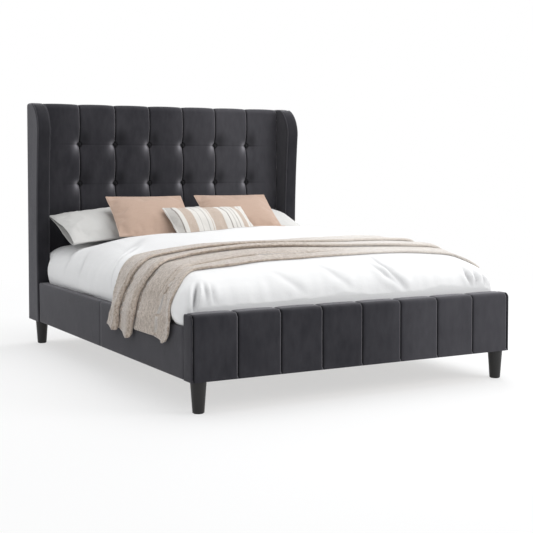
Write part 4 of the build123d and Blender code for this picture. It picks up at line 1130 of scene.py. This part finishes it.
hollow_foot, hollow_head = bed_low.y - HOLLOW_GAP, bed_high.y + HOLLOW_HEAD_GAP
half = bed_high.x + HOLLOW_GAP
duvet_rings = []
for row in cover:
    y = row[0, 1]
    soft, roof = 0.0, rail_top
    if hollow_foot < y < hollow_head:
        soft, reach = HOLLOW_EDGE, min(y - hollow_foot, hollow_head - y)
        roof = bed_high.z + HOLLOW_GAP - (soft - math.sqrt(max(0, soft**2 - max(0, soft - reach) ** 2)))
    under = [(half, y, rail_top)]
    under += [(half - soft + soft * math.cos(turn), y, roof - soft + soft * math.sin(turn)) for turn in quarter(8)]
    under += [(half * (1 - 2 * k / 20), y, roof) for k in range(2, 19)]
    under += [(-x, y, z) for x, y, z in under[9::-1]]
    duvet_rings.append([tuple(p) for p in row] + under)


def cotton_finish(name, pale, shade):
    """Washed cotton percale: a fine even weave with soft creases."""
    cotton = Finish(name, roughness=0.88, Sheen_Weight=0.12, Sheen_Roughness=0.5, Specular_IOR_Level=0.3)
    threads = cotton.grain(1600.0, detail=1.5)
    creases = cotton.grain(30.0, detail=5.0, rough=0.62)
    tone = cotton.grain(4.0, detail=2.0)
    colour = cotton.blend(tone * 0.35 + threads * 0.25, pale, shade)
    # Painted shade from the fold mark: dark in the duvet's creases, and a little over its upper side.
    folded = cotton.blend(cotton.mark("fold") * 0.62, colour, FOLD_SHADE)
    return cotton.paint(folded, bump=creases + threads * 0.12, depth=0.004, strength=0.34)


cotton = cotton_finish("duvet_cotton", COTTON, COTTON_SHADE)
duvet = piece("duvet_cotton", *ring_loft(duvet_rings), "duvet", "white_cotton", cotton, replaced=["duvet"])
shadow_at = {tuple(np.round(at, 5)): float(dark) for at, dark in zip(cover.reshape(-1, 3), fold_shadow.ravel())}


def painted_crease_and_top_shade(at):
    """Painted shade on the duvet: in its creases, and a little over its upper side."""
    crease = shadow_at.get(tuple(np.round(at, 5)), 0.0)
    return crease + DUVET_TOP_SHADE * ramp(at.z - DUVET_TOP_SHADE_FROM, DUVET_TOP_SHADE_RUN)


mark(duvet, "fold", painted_crease_and_top_shade)

# Throw
# A soft taupe woven blanket, folded lengthwise in overlapping pleats, laid across the foot end. It falls
# outside the left rail, where its layers hang at different lengths and one corner curls.

THROW_CLOTH = 0.0038
THROW_END = 0.60
THROW_OFF_RAIL = 0.0012
LIE_TURNS, LIE_ROWS, LIE_LENGTH = 300, 150, 0.5
LIE_SOFTENING = 14
LIE_REACH = 0.04
THROW_HANG = 0.15
THROW_SWAY, THROW_CURL, THROW_CURL_FROM, THROW_CURL_ACROSS = 0.004, 0.020, 0.3, 0.16
THROW_UNEVEN, THROW_RIPPLE, THROW_FINE_RIPPLE = 0.10, 0.0030, 0.0020
# A painted sheen: the throw's part over the right of the duvet is painted paler.
PAINTED_SHEEN_TO, PAINTED_SHEEN_RUN, PAINTED_SHEEN_SHARE = 1.62, 0.32, 0.62
# The throw's long lines, each as (turn, y). A turn is 0 where the duvet is widest on the right, 1 and 2 at its
# shoulders, 3 where it is widest on the left, 4 at the left rail's top, and 5 lower down outside that rail.
THROW_FOOT = ((0.4, -0.925), (0.9, -0.885), (0.95, -0.83), (1.05, -0.775), (1.22, -0.752), (1.43, -0.768),
              (1.63, -0.775), (1.77, -0.762), (1.9, -0.78), (2.0, -0.778), (2.33, -0.819), (2.59, -0.872),
              (2.79, -0.893), (3.4, -0.918), (3.8, -0.916), (4.2, -0.908), (4.6, -0.892), (5.0, -0.868))
THROW_MAIN = ((0.4, -0.66), (1.0, -0.63), (1.28, -0.61), (1.44, -0.585), (1.57, -0.515), (1.71, -0.458),
              (1.82, -0.442), (1.90, -0.444), (1.985, -0.472), (2.21, -0.515), (2.53, -0.540), (2.68, -0.530),
              (2.9, -0.515), (3.3, -0.505), (4.0, -0.52), (4.47, -0.50), (5.0, -0.48))
THROW_UPPER = ((0.4, -0.42), (1.0, -0.43), (1.2, -0.455), (1.34, -0.475), (1.53, -0.42), (1.7, -0.335),
               (1.82, -0.292), (1.95, -0.300), (2.21, -0.340), (2.49, -0.362), (2.72, -0.358), (3.36, -0.335),
               (4.0, -0.335), (4.53, -0.325), (5.0, -0.31))
THROW_HEAD = ((0.4, -0.12), (1.06, -0.178), (1.3, -0.26), (1.48, -0.28), (1.62, -0.225), (1.73, -0.165),
              (1.84, -0.125), (1.95, -0.114), (2.07, -0.122), (2.26, -0.147), (2.47, -0.175), (2.62, -0.188),
              (2.77, -0.193), (2.99, -0.190), (3.5, -0.200), (4.0, -0.215), (4.5, -0.190), (5.0, -0.165))
THROW_CREASE = ((0.4, -0.72), (1.0, -0.69), (1.3, -0.67), (1.61, -0.634), (1.78, -0.585), (1.92, -0.612),
                (2.26, -0.70), (2.43, -0.72), (2.75, -0.728), (2.9, -0.71), (4.0, -0.69), (5.0, -0.68))
TAUPE = (0.66, 0.575, 0.50)
TAUPE_DARK = (0.235, 0.175, 0.130)
# The paler colour of the painted sheen.
TAUPE_PAINTED_SHEEN = (0.80, 0.765, 0.72)

throw_lines = [smooth_row([t for t, _ in row], [y for _, y in row])
               for row in (THROW_FOOT, THROW_MAIN, THROW_UPPER, THROW_HEAD, THROW_CREASE)]
rail_side = max(abs(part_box("left_rail_cover_foot")[0].x), abs(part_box("left_rail_cover_head")[0].x))


def lie_line(share):
    """The line the throw is drawn over at a share of the duvet's length: the duvet, then the left rail."""
    left, right = duvet_side(share, -1), duvet_side(share, 1)
    crown = (0.0, rail_top + DUVET_LOFT * float(top_at(share)))
    widest_x, widest_z = left[2]
    out = max(rail_side, -widest_x) + THROW_OFF_RAIL
    parts = [arc_points(right[2], right[1], right[0], 31), arc_points(right[0], crown, left[0], 81),
             arc_points(left[0], left[1], left[2], 41),
             [(widest_x + (-out - widest_x) * k / 12, widest_z + (rail_top - widest_z) * k / 12) for k in range(13)],
             [(-out, rail_top - THROW_HANG * k / 20) for k in range(21)]]
    turns, points = [0.0], [parts[0][0]]
    for number, part in enumerate(parts):
        for k, at in enumerate(part[1:], 1):
            turns.append(number + k / (len(part) - 1))
            points.append(at)
    taut = []
    for k, (x, z) in enumerate(points):
        while len(taut) > 1:
            (ax, az), (bx, bz) = points[taut[-2]], points[taut[-1]]
            if (bx - ax) * (z - az) - (bz - az) * (x - ax) > 0:
                break
            taut.pop()
        taut.append(k)
    turns, points = np.array(turns), np.array(points)
    tight = np.stack([np.interp(turns, turns[taut], points[taut, k]) for k in (0, 1)], 1)
    return turns, tight


lie_shares = np.linspace(0, LIE_LENGTH, LIE_ROWS)
lie_turns = np.linspace(THROW_END - 0.05, 5.0, LIE_TURNS)
lie = np.zeros((len(lie_turns), len(lie_shares), 3))
for k, share in enumerate(lie_shares):
    turns, points = lie_line(share)
    lie[:, k, 0] = np.interp(lie_turns, turns, points[:, 0])
    lie[:, k, 1] = duvet_low.y + duvet_length * share
    lie[:, k, 2] = np.interp(lie_turns, turns, points[:, 1])
for _ in range(LIE_SOFTENING):
    soften(lie)
lie[lie_turns > 4, :, 0] = np.minimum(lie[lie_turns > 4, :, 0], -(rail_side + THROW_OFF_RAIL))
lie_out = grid_normals(lie)
if lie_out[-1, :, 0].mean() > 0:
    lie_out = -lie_out


def surface_of(points, faces):
    """A mesh as a surface that lines can be cast at."""
    return BVHTree.FromPolygons([tuple(p) for p in points], [tuple(f) for f in faces])


duvet_tree = surface_of([tuple(v.co) for v in duvet.data.vertices], [tuple(p.vertices) for p in duvet.data.polygons])
stands_out = np.zeros(lie.shape[:2])
for i in range(lie.shape[0]):
    for k in range(lie.shape[1]):
        at, out = Vector(lie[i, k]), Vector(lie_out[i, k])
        _, _, _, run = duvet_tree.ray_cast(at + out * LIE_REACH, -out, LIE_REACH)
        stands_out[i, k] = max(LIE_REACH - run, 0.0) if run is not None else 0.0
for _ in range(3):
    wide = stands_out.copy()
    wide[1:-1] = np.maximum(wide[1:-1], 0.5 * (stands_out[:-2] + stands_out[2:]))
    wide[:, 1:-1] = np.maximum(wide[:, 1:-1], 0.5 * (wide[:, :-2] + wide[:, 2:]))
    stands_out = wide
lie = lie + lie_out * stands_out[..., None]


def half_turn(across, high, radius, side, count):
    """The points of a fold's round edge, from its lower layer to its upper one."""
    return [(across + side * radius * math.sin(turn), high + radius * (1 - math.cos(turn)))
            for turn in (math.pi * i / count for i in range(count + 1))]


def pleats(turn):
    """The throw cut across at one place: how far each point is from its foot edge, and how high it lies.

    The parts follow the cloth layer by layer: lengths of it with the steps they are drawn in, and folds (0 steps)."""
    foot, main, upper, head, crease = (float(line(turn)) for line in throw_lines)
    width, main, upper, crease = head - foot, main - foot, upper - foot, crease - foot
    hang = ramp(turn - 2.3, 1.6)
    full = 1 + 0.5 * hang
    dip = ramp(2.95 - turn, 0.35)
    wave = 0.0022 * math.sin(5.1 * turn) + 0.004 * hang
    parts = [
        (4, [(0.060, 0.0024), (0.012, 0.0024)]),
        (0, half_turn(0.010, 0.0024, 0.0032, -1, 7)),
        (10, [(0.012, 0.0088), (0.055, 0.0082), (0.080, 0.0050), (crease - 0.05, 0.0052 + 0.4 * wave)]),
        (16, [(crease - 0.05, 0.0052 + 0.4 * wave), (crease - 0.014, 0.0080 + 0.0032 * dip),
              (crease, 0.0078 - 0.0030 * dip), (crease + 0.013, 0.0080), (main - 0.045, 0.0062 + wave),
              (main - 0.012, 0.0036)]),
        (6, [(main - 0.012, 0.0036), (main + 0.042, 0.0030)]),
        (0, half_turn(main + 0.042, 0.0030, 0.0029, 1, 6)),
        (5, [(main + 0.040, 0.0090), (main + 0.006, 0.0096)]),
        (0, half_turn(main + 0.005, 0.0096, 0.0040 * full, -1, 8)),
        (18, [(main + 0.007, 0.0096 + 0.0080 * full), (main + 0.028, 0.0200 * full), (main + 0.055, 0.0190 * full),
              (main + 0.5 * (upper - main) + 0.02, 0.0110 * full), (upper - 0.012, 0.0060)]),
        (6, [(upper - 0.012, 0.0060), (upper + 0.036, 0.0042)]),
        (0, half_turn(upper + 0.036, 0.0042, 0.0027, 1, 6)),
        (5, [(upper + 0.034, 0.0096), (upper + 0.006, 0.0102)]),
        (0, half_turn(upper + 0.005, 0.0102, 0.0038 * full, -1, 8)),
        (18, [(upper + 0.007, 0.0102 + 0.0076 * full), (upper + 0.024, 0.0192 * full), (upper + 0.042, 0.0160 * full),
              (upper + 0.6 * (width - upper), 0.0098 + wave), (width - 0.012, 0.0086)]),
        (0, half_turn(width - 0.010, 0.0024, 0.0031, 1, 7)[::-1]),
        (4, [(width - 0.012, 0.0024), (width - 0.050, 0.0024)]),
    ]
    line = []
    for steps, points in parts:
        if steps:
            run = np.linspace(0, 1, len(points))
            fine_run = np.linspace(0, 1, steps + 1)
            across = smooth_row(run, [p[0] for p in points])(fine_run)
            high = smooth_row(run, [p[1] for p in points])(fine_run)
            line += list(zip(across, high))
        else:
            line += points
    return foot, np.array(line)


# How low the throw's end hangs across its layers, as a share of the turn from 4 to 5.
hem_at = smooth_row((0.0, 0.09, 0.105, 0.13, 0.165, 0.22, 0.28, 0.38, 0.42, 0.47, 0.51, 0.565, 0.62, 0.72, 0.79, 0.84,
                     0.91, 1.0),
                    (0.51, 0.53, 0.60, 0.54, 0.475, 0.482, 0.466, 0.46, 0.60, 0.75, 0.785, 0.66, 0.62, 0.64, 0.675,
                     0.68, 0.59, 0.57))


throw_turns = np.concatenate([np.linspace(THROW_END, 1.0, 14)[:-1], np.linspace(1.0, 2.0, 62)[:-1],
                              np.linspace(2.0, 4.0, 58)[:-1], np.linspace(4.0, 5.0, 18)])
sections = [pleats(turn) for turn in throw_turns]
throw_columns = len(sections[0][1])
throw_points = []
for i, turn in enumerate(throw_turns):
    foot, line = sections[i]
    for j, (across, high) in enumerate(line):
        share = j / (throw_columns - 1)
        at_turn = turn if turn < 4 else 4 + (turn - 4) * float(hem_at(share))
        if turn < 1:
            at_turn = turn + (1 - turn) * 0.10 * math.sin(5 * share + 1)
        row = np.interp(at_turn, lie_turns, np.arange(len(lie_turns)))
        place = (foot + across - duvet_low.y) / duvet_length / LIE_LENGTH * (len(lie_shares) - 1)
        r, c = min(int(row), len(lie_turns) - 2), min(max(int(place), 0), len(lie_shares) - 2)
        fr, fc = row - r, place - c
        weights = ((1 - fr) * (1 - fc), (1 - fr) * fc, fr * (1 - fc), fr * fc)
        cells = ((r, c), (r, c + 1), (r + 1, c), (r + 1, c + 1))
        base = sum(w * lie[cell] for w, cell in zip(weights, cells))
        out = sum(w * lie_out[cell] for w, cell in zip(weights, cells))
        down = max(0.0, at_turn - 4)
        sway = THROW_SWAY * down * math.sin(9 * share)
        curl = THROW_CURL * max(0.0, down - THROW_CURL_FROM) / 0.3 * max(0.0, 1 - share / THROW_CURL_ACROSS)
        lay = 1.0 + THROW_UNEVEN * noise.noise(Vector((3 * turn, 7 * share, 2.0)))
        ripple = THROW_RIPPLE * (noise.noise(Vector((2.2 * turn, 26 * share, 5.0))) + 0.2)
        ripple += THROW_FINE_RIPPLE * noise.noise(Vector((5.5 * turn, 44 * share, 9.0)))
        throw_points.append(base + out * (high * lay + ripple * min(high / 0.01, 1.0) + sway + curl))
throw_faces = [(i * throw_columns + j, i * throw_columns + j + 1, (i + 1) * throw_columns + j + 1,
                (i + 1) * throw_columns + j)
               for i in range(len(throw_turns) - 1) for j in range(throw_columns - 1)]


def knit_finish():
    """Brushed wool and cotton in a small herringbone, with light and dark flecks in the yarn."""
    knit = Finish("taupe_knit", roughness=0.95, Sheen_Weight=0.8, Sheen_Roughness=0.4, Specular_IOR_Level=0.15)
    along, across = knit.mark("along"), knit.mark("across")
    zigzag = knit.node("Math", {"operation": "PINGPONG"}, Value=across, Value_001=0.012)
    ribs = knit.node("Math", {"operation": "SINE"}, Value=(along + zigzag * 0.9) * (2 * math.pi / 0.0085)) * 0.5 + 0.5
    yarn = knit.grain(420.0, detail=3.0)
    flecks = knit.between(knit.grain(82.0, detail=5.0, rough=0.78), 0.42, 0.58)
    wear = knit.grain(9.0, detail=3.0)
    shade = flecks * 0.55 + wear * 0.16 + (1 - ribs) * 0.16 + yarn * 0.06
    worn = knit.blend(shade, TAUPE, TAUPE_DARK)
    # The painted sheen pales the throw over the right of the duvet.
    return knit.paint(knit.blend(knit.mark("nap") * PAINTED_SHEEN_SHARE, worn, TAUPE_PAINTED_SHEEN),
                      bump=ribs * 0.6 + flecks * 0.6 + yarn * 0.3, depth=0.0018, strength=0.6)


throw = piece("throw_knit", throw_points, throw_faces, "throw", "taupe_knit", knit_finish(), crease=180,
              replaced=["throw_blanket"])
thick = throw.modifiers.new("cloth", "SOLIDIFY")
thick.thickness = THROW_CLOTH
thick.offset = 0
thick.use_even_offset = False
applied = bpy.data.meshes.new_from_object(throw.evaluated_get(bpy.context.evaluated_depsgraph_get()))
throw.modifiers.clear()
throw.data = applied
grid = np.array(throw_points).reshape(len(throw_turns), throw_columns, 3)
# The last mark is a painted sheen, full over the right of the duvet and fading out a little past its right shoulder.
marks = {"along": np.repeat(runs_along(grid[:, throw_columns // 2]), throw_columns),
         "across": np.concatenate([runs_along(line) + 1.0 for _, line in sections]),
         "nap": np.repeat(ramps(PAINTED_SHEEN_TO - throw_turns, PAINTED_SHEEN_RUN), throw_columns)}
for name, values in marks.items():
    mark_values(throw, name, np.resize(values, len(throw.data.vertices)))

# Pillows and cushions
# Two sleeping pillows lie back against the headboard, two square cushions in peach linen with piped edges
# lean on them, and a small oblong striped cushion leans on those. All are sewn flat and filled.

PILLOW = {"size": (0.72, 0.455, 0.130), "lean": 72.0, "seat": 0.5343, "low": 0.606}
SQUARE = {"size": (0.435, 0.415, 0.098), "lean": 61.0, "seat": 0.366, "low": 0.622}
SQUARE_TURN = 9.0
OBLONG = {"size": (0.49, 0.265, 0.084), "lean": 57.0, "seat": 0.258, "low": 0.624}
PILLOW_GAP = 0.050
SQUARE_GAP = 0.104
PILLOW_DROOP = {-1: 0.026, 1: 0.034}
CORNER_FLOP = 0.010
CRUMPLE, CRUMPLE_FOLDS, CRUMPLE_WAY = 0.006, 0.0035, Vector((0, -0.3, 0.95))
# The pillowcases are white cotton like the duvet, made much greyer: partly the cloth's faint grey print, partly painted
# shade.
PILLOWCASE_GREY_AND_PAINTED_SHADE = (0.58, 0.575, 0.56)
PILLOWCASE_SHADE = (0.51, 0.505, 0.49)
PIPING_RADIUS = 0.0024
SIDES_DRAWN = 0.028
MOUTH_SHARE = 0.085
MOUTH_GAPE = 0.030
MOUTH_DEPTH = 0.11
MOUTH_SLOPE = 0.16
# How the mouth's lining narrows: each ring's share of the depth and of the mouth's size.
MOUTH_RINGS = ((0.0, 1.0), (0.10, 0.985), (0.30, 0.95), (0.60, 0.90), (0.92, 0.82), (1.0, 0.68), (0.94, 0.48),
               (0.88, 0.25), (0.86, 0.04))
HEM_RADIUS = 0.0016
LUMBAR_PLACE = -0.028
BAG_COLUMNS = 44
BAG_FRAMES = 16
SOFT_GAP = 0.0012
OFF_BEHIND = Vector((0, -0.45, 0.893))


def sewn_bag(columns, rows, shape, seed, mouth):
    """Two cloths sewn together round their edge, with drawn-in sides. A mouth is an end left open."""
    width, height, thickness = shape["size"]
    points, faces, upper, lower = [], [], {}, {}
    for i in range(columns + 1):
        for j in range(rows + 1):
            u, v = 2 * i / columns - 1, 2 * j / rows - 1
            x = width / 2 * u * (1 - SIDES_DRAWN * (1 - v**2) * abs(u) ** 3)
            y = height / 2 * v * (1 - SIDES_DRAWN * (1 - u**2) * abs(v) ** 3)
            end = max((u + MOUTH_SHARE) / (1 - MOUTH_SHARE), -1.0) if mouth else u
            swell = thickness / 2 * max(1 - end**2, 0) ** 0.55 * (1 - v**2) ** 0.72
            swell *= 1 + 0.07 * noise.noise(Vector((3 * u + seed, 3 * v, seed)))
            gape = MOUTH_GAPE * math.sin(math.pi * ((1 - v) / 2) ** 1.9) if mouth else 0.0
            rise = math.hypot(swell, gape)
            edge = i == columns or j in (0, rows) or (i == 0 and not mouth)
            upper[i, j] = lower[i, j] = len(points)
            points.append(Vector((x, y, 0 if edge else rise)))
            if not edge:
                lower[i, j] = len(points)
                points.append(Vector((x, y, -rise)))
    for i in range(columns):
        for j in range(rows):
            faces.append((upper[i, j], upper[i + 1, j], upper[i + 1, j + 1], upper[i, j + 1]))
            faces.append((lower[i, j], lower[i, j + 1], lower[i + 1, j + 1], lower[i + 1, j]))
    seam = [upper[i, 0] for i in range(columns)] + [upper[columns, j] for j in range(rows)]
    seam += [upper[i, rows] for i in range(columns, 0, -1)] + [upper[0, j] for j in range(rows, 0, -1)]
    lip = [upper[0, j] for j in range(rows)] + [lower[0, j] for j in range(rows, 0, -1)]
    return points, faces, seam, lip


def filled(name, shape, seed, pressure, mouth):
    """A sewn bag blown up by its filling as cloth, then set to its size."""
    width, height, thickness = shape["size"]
    rows = max(18, round(BAG_COLUMNS * height / width))
    points, faces, seam, lip = sewn_bag(BAG_COLUMNS, rows, shape, seed, mouth)
    mesh = bpy.data.meshes.new(name + "_bag")
    mesh.from_pydata([tuple(p) for p in points], [], faces)
    mesh.update()
    bag = bpy.data.objects.new(name + "_bag", mesh)
    bpy.context.scene.collection.objects.link(bag)
    sewn = bag.vertex_groups.new(name="sewn")
    sewn.add(sorted(set(seam + (lip if mouth else []))), 1.0, "REPLACE")
    cloth = bag.modifiers.new("cloth", "CLOTH")
    settings = cloth.settings
    settings.quality = 6
    settings.mass = 0.25
    settings.tension_stiffness = settings.compression_stiffness = 15
    settings.shear_stiffness = 6
    settings.bending_stiffness = 0.25
    settings.use_pressure = True
    settings.uniform_pressure_force = pressure
    settings.shrink_min = settings.shrink_max = -0.03
    settings.vertex_group_mass = "sewn"
    settings.effector_weights.gravity = 0
    cloth.point_cache.frame_start, cloth.point_cache.frame_end = 1, BAG_FRAMES
    for frame_number in range(1, BAG_FRAMES + 1):
        bpy.context.scene.frame_set(frame_number)
    fine_mesh = bag.modifiers.new("fine", "SUBSURF")
    fine_mesh.levels = 1
    done = bpy.data.meshes.new_from_object(bag.evaluated_get(bpy.context.evaluated_depsgraph_get()))
    bpy.context.scene.frame_set(1)
    found = np.array([v.co for v in done.vertices])
    polygons = [tuple(p.vertices) for p in done.polygons]
    bpy.data.objects.remove(bag)
    size = found.max(axis=0) - found.min(axis=0)
    found[:, 2] *= thickness / size[2]
    return found, polygons, seam, lip


def lean_back(found, shape, x, turned=0.0):
    """The filled piece leaned back with its lower edge on its seat, and turned a little about its top edge."""
    height = shape["size"][1]
    lean, turned = math.radians(shape["lean"]), math.radians(turned)
    top = Vector((x, shape["seat"] + height * math.sin(lean), shape["low"] + height * math.cos(lean)))
    right = Vector((math.cos(turned), -math.sin(turned), 0))
    along = Vector((math.sin(turned) * math.sin(lean), math.cos(turned) * math.sin(lean), math.cos(lean)))
    out = right.cross(along)
    return [top + right * p[0] + along * (p[1] - height / 2) + out * p[2] for p in found]


def droop(points, found, shape, side):
    """A pillow's outer end sinks with the duvet under it, and its outer top corner flops a little."""
    width, height, _ = shape["size"]
    sunk = []
    for at, p in zip(points, found):
        out = ramp(side * p[0], width / 2)
        flop = CORNER_FLOP * max(0.0, out - 0.35) ** 1.5 * max(0.0, p[1] / (height / 2)) ** 2
        sunk.append(at - Vector((0, 0, PILLOW_DROOP[side] * out**1.5 + flop)))
    return sunk


def mouth_lining(lip_points):
    """The inside of the pillowcase's open end, seen down to the pillow's rounded end, as rings of points."""
    middle = sum(lip_points, Vector()) / len(lip_points)
    rings = []
    for depth, size in MOUTH_RINGS:
        inward = Vector((depth * MOUTH_DEPTH, 0, depth * MOUTH_DEPTH * MOUTH_SLOPE))
        rings.append([middle + (at - middle) * size + inward for at in lip_points])
    return rings


def inside(tree, at, way):
    """Whether a point is inside a closed surface: a line out of it crosses the surface an odd number of times."""
    crossings = 0
    for _ in range(12):
        hit, _, _, _ = tree.ray_cast(at, way)
        if hit is None:
            break
        crossings += 1
        at = hit + way * 1e-5
    return crossings % 2 == 1


def clear_of(points, others, gap, way):
    """Moves points that lie inside what is behind or under them, straight out along one way."""
    moved = []
    for at in points:
        at = at.copy()
        for tree in others:
            for _ in range(3):
                start = at - way * gap
                if not inside(tree, start, way):
                    break
                hit, _, _, _ = tree.ray_cast(start, way)
                at = hit + way * (gap + 1e-5)
        moved.append(at)
    return moved


def crumple(at, flat):
    """The soft dents and pulls of a slept-on pillow, outward on either side of its seam."""
    grain = noise.noise(Vector((at.x * 7, at.y * 5, at.z * 11)))
    fold = 1 - abs(noise.noise(Vector((at.x * 16 + 2 * at.y, at.y * 7, 4.0 + at.z * 6)))) * 2.4
    return CRUMPLE_WAY * ((CRUMPLE * grain + CRUMPLE_FOLDS * max(fold, 0.0) ** 3) * math.copysign(1.0, flat[2]))


def linen_finish(name, pale, shade):
    """Washed linen: uneven slubs both ways, lighter where it is rubbed."""
    linen = Finish(name, roughness=0.9, Sheen_Weight=0.15, Specular_IOR_Level=0.2)
    up = linen.grain(500.0, detail=2.0, stretch=(1.0, 0.08, 0.08))
    over = linen.grain(500.0, detail=2.0, stretch=(0.08, 1.0, 1.0))
    slubs = linen.between(linen.grain(120.0, detail=3.0, stretch=(0.15, 1.0, 1.0)), 0.5, 0.75)
    tone = linen.grain(8.0, detail=3.0)
    worn = up * 0.25 + over * 0.25 + slubs * 0.2 + tone * 0.25
    colour = linen.blend(worn, pale, shade)
    return linen.paint(colour, bump=up + over + slubs * 0.5, depth=0.0011, strength=0.5)


def stripe_finish():
    """A flat woven cloth striped across: grey marl, white and tan bands with fine dark lines between them."""
    cloth = Finish("striped_weave", roughness=0.9, Sheen_Weight=0.12, Specular_IOR_Level=0.2)
    across = cloth.mark("across")
    white, tan, grey, dark = (0.65, 0.635, 0.605), (0.45, 0.36, 0.295), (0.42, 0.405, 0.385), (0.20, 0.18, 0.165)
    stops = ((0.0, white), (0.03, grey), (0.105, dark), (0.12, white), (0.165, tan), (0.27, white), (0.325, grey),
             (0.335, white), (0.375, white), (0.40, grey), (0.412, white), (0.45, tan), (0.46, white), (0.475, tan),
             (0.625, white), (0.69, dark), (0.70, white), (0.745, grey), (0.755, white), (0.79, dark), (0.80, white),
             (0.84, tan), (0.90, white), (0.93, grey), (0.94, white))
    bands = cloth.node("ValToRGB", {"stops": stops}, Fac=across)
    bands.socket.node.color_ramp.interpolation = "CONSTANT"
    marl = cloth.between(cloth.grain(330.0, detail=2.0), 0.44, 0.58)
    up = cloth.grain(600.0, detail=1.0, stretch=(1.0, 0.1, 0.1))
    over = cloth.grain(600.0, detail=1.0, stretch=(0.1, 1.0, 1.0))
    colour = cloth.blend(marl * 0.35, bands, (0.60, 0.56, 0.52))
    return cloth.paint(colour, bump=up + over, depth=0.0011, strength=0.5)


behind = []
pillowcase = cotton_finish("greyed_and_shaded_pillowcase_cotton", PILLOWCASE_GREY_AND_PAINTED_SHADE, PILLOWCASE_SHADE)
linen = linen_finish("peach_linen", (0.485, 0.350, 0.276), (0.385, 0.270, 0.208))
piping_linen = linen_finish("peach_piping", (0.56, 0.42, 0.34), (0.47, 0.335, 0.26))
stripes = stripe_finish()
# Each group: its name, shape, how far out it sits, body, slot, finish, the filling's pressure, and its fill.
groups = (
    ("pillow", PILLOW, (PILLOW["size"][0] + PILLOW_GAP) / 2, "sleeping_pillows", "white_cotton", pillowcase, 1.6, 0.55),
    ("cushion", SQUARE, (SQUARE["size"][0] + SQUARE_GAP) / 2, "square_cushions", "peach_linen", linen, 1.2, 0.75),
    ("lumbar_cushion", OBLONG, 0.0, "lumbar_cushion", "striped_weave", stripes, 1.2, 0.75),
)
for kind, shape, reach, body, slot, finish, pressure, fill in groups:
    trees = []
    for number, side in enumerate((-1, 1) if reach else (0,)):
        node = kind if not reach else ("left_" if side < 0 else "right_") + kind
        mouth = node == "left_pillow"
        found, polygons, seam, lip = filled(node, shape, 3.0 * number + len(kind), pressure, mouth)
        middle, turned = side * reach if reach else LUMBAR_PLACE, SQUARE_TURN if kind == "cushion" else 0.0
        placed = lean_back(found, shape, middle, turned)
        if kind == "pillow":
            placed = droop(placed, found, shape, side)
            placed = [at + crumple(at, found[k]) for k, at in enumerate(placed)]
        placed = clear_of(placed, [duvet_tree], SOFT_GAP, Vector((0, 0, 1)))
        placed = clear_of(placed, behind, SOFT_GAP, OFF_BEHIND)
        for at in placed:
            at.y = min(at.y, head_low.y - 0.001)
        made = piece(node + "_cloth", placed, polygons, body, slot, finish, crease=180, replaced=[node])
        mark_values(made, "across", [p[0] / shape["size"][0] + 0.5 for p in found])
        trees.append(surface_of(placed, polygons))
        if kind == "cushion":
            piece(node + "_piping", *loop_tube([placed[k] for k in seam], PIPING_RADIUS), body, slot, piping_linen)
        if mouth:
            rings = mouth_lining([placed[k] for k in lip])
            points, faces = ring_loft(rings)
            faces.remove(tuple(range(len(rings[0])))[::-1])
            piece(node + "_mouth", points, faces, body, slot, finish, crease=180)
            piece(node + "_hem", *loop_tube([placed[k] for k in lip], HEM_RADIUS), body, slot, finish)
    behind = behind + trees

# Floor, light and background
# A plain white floor that runs into a white background, with the bed's soft shadow on it. The light is that
# of a white studio: bright all round, a little more from above and from the right.

FLOOR_COLOUR = (0.88, 0.88, 0.88)
FLOOR_LIFT = 0.58
FLOOR_EDGE = (2.2, 4.2)

bpy.ops.mesh.primitive_plane_add(size=60, location=(0, 0, 0))
floor = bpy.context.object
floor.name = "floor"
pale = Finish("pale_floor", roughness=0.95)
pale.paint(colour=pale.blend(pale.grain(0.7), FLOOR_COLOUR, tuple(c * 0.99 for c in FLOOR_COLOUR)))
seen = pale.node("LightPath", out=0) + pale.node("LightPath", out=3) + pale.node("LightPath", out=6)
away = pale.node("VectorMath", {"operation": "LENGTH"}, out=1, Vector=pale.place)
glow = pale.node("Emission", Color=(1, 1, 1), Strength=1.0)
lifted = pale.node("MixShader", Fac=seen * FLOOR_LIFT, Shader=Value(pale, pale.shader.outputs[0]), Shader_001=glow)
faded = pale.node("MixShader", Fac=seen * pale.between(away, *FLOOR_EDGE), Shader=lifted, Shader_001=glow)
pale.tree.links.new(faded.socket, pale.tree.nodes["Material Output"].inputs[0])
floor.data.materials.append(pale.material)

WORLD_LIGHT = 0.70

world = bpy.data.worlds.new("studio")
bpy.context.scene.world = world
world.use_nodes = True
tree = world.node_tree
tree.nodes.clear()
path, seen, light, mix, output = (tree.nodes.new("ShaderNode" + kind) for kind in (
    "LightPath", "Background", "Background", "MixShader", "OutputWorld"))
for background, colour, strength in ((seen, (1, 1, 1, 1), 1.0), (light, (0.98, 0.99, 1, 1), WORLD_LIGHT)):
    background.inputs["Color"].default_value = colour
    background.inputs["Strength"].default_value = strength
for k, socket in enumerate((path.outputs["Is Camera Ray"], light.outputs[0], seen.outputs[0])):
    tree.links.new(socket, mix.inputs[k])
tree.links.new(mix.outputs[0], output.inputs[0])


def lamp(name, place, target, size, power):
    """A soft lamp at a place, turned towards its target."""
    data = bpy.data.lights.new(name, "AREA")
    data.shape = "RECTANGLE"
    data.size, data.size_y = size
    data.energy = power
    made = bpy.data.objects.new(name, data)
    made.location = place
    made.rotation_euler = (Vector(target) - Vector(place)).to_track_quat("-Z", "Y").to_euler()
    bpy.context.scene.collection.objects.link(made)


lamp("key", (2.9, -3.5, 2.2), (0.2, -0.3, 0.4), (2.0, 2.0), 64)
lamp("rim", (3.2, 3.0, 3.0), (0, 0, 0.5), (2.2, 2.2), 70)
lamp("top", (0.9, 0.3, 4.2), (0, 0, 0.4), (3.4, 4.0), 108)

bpy.context.scene.view_settings.view_transform = "Standard"
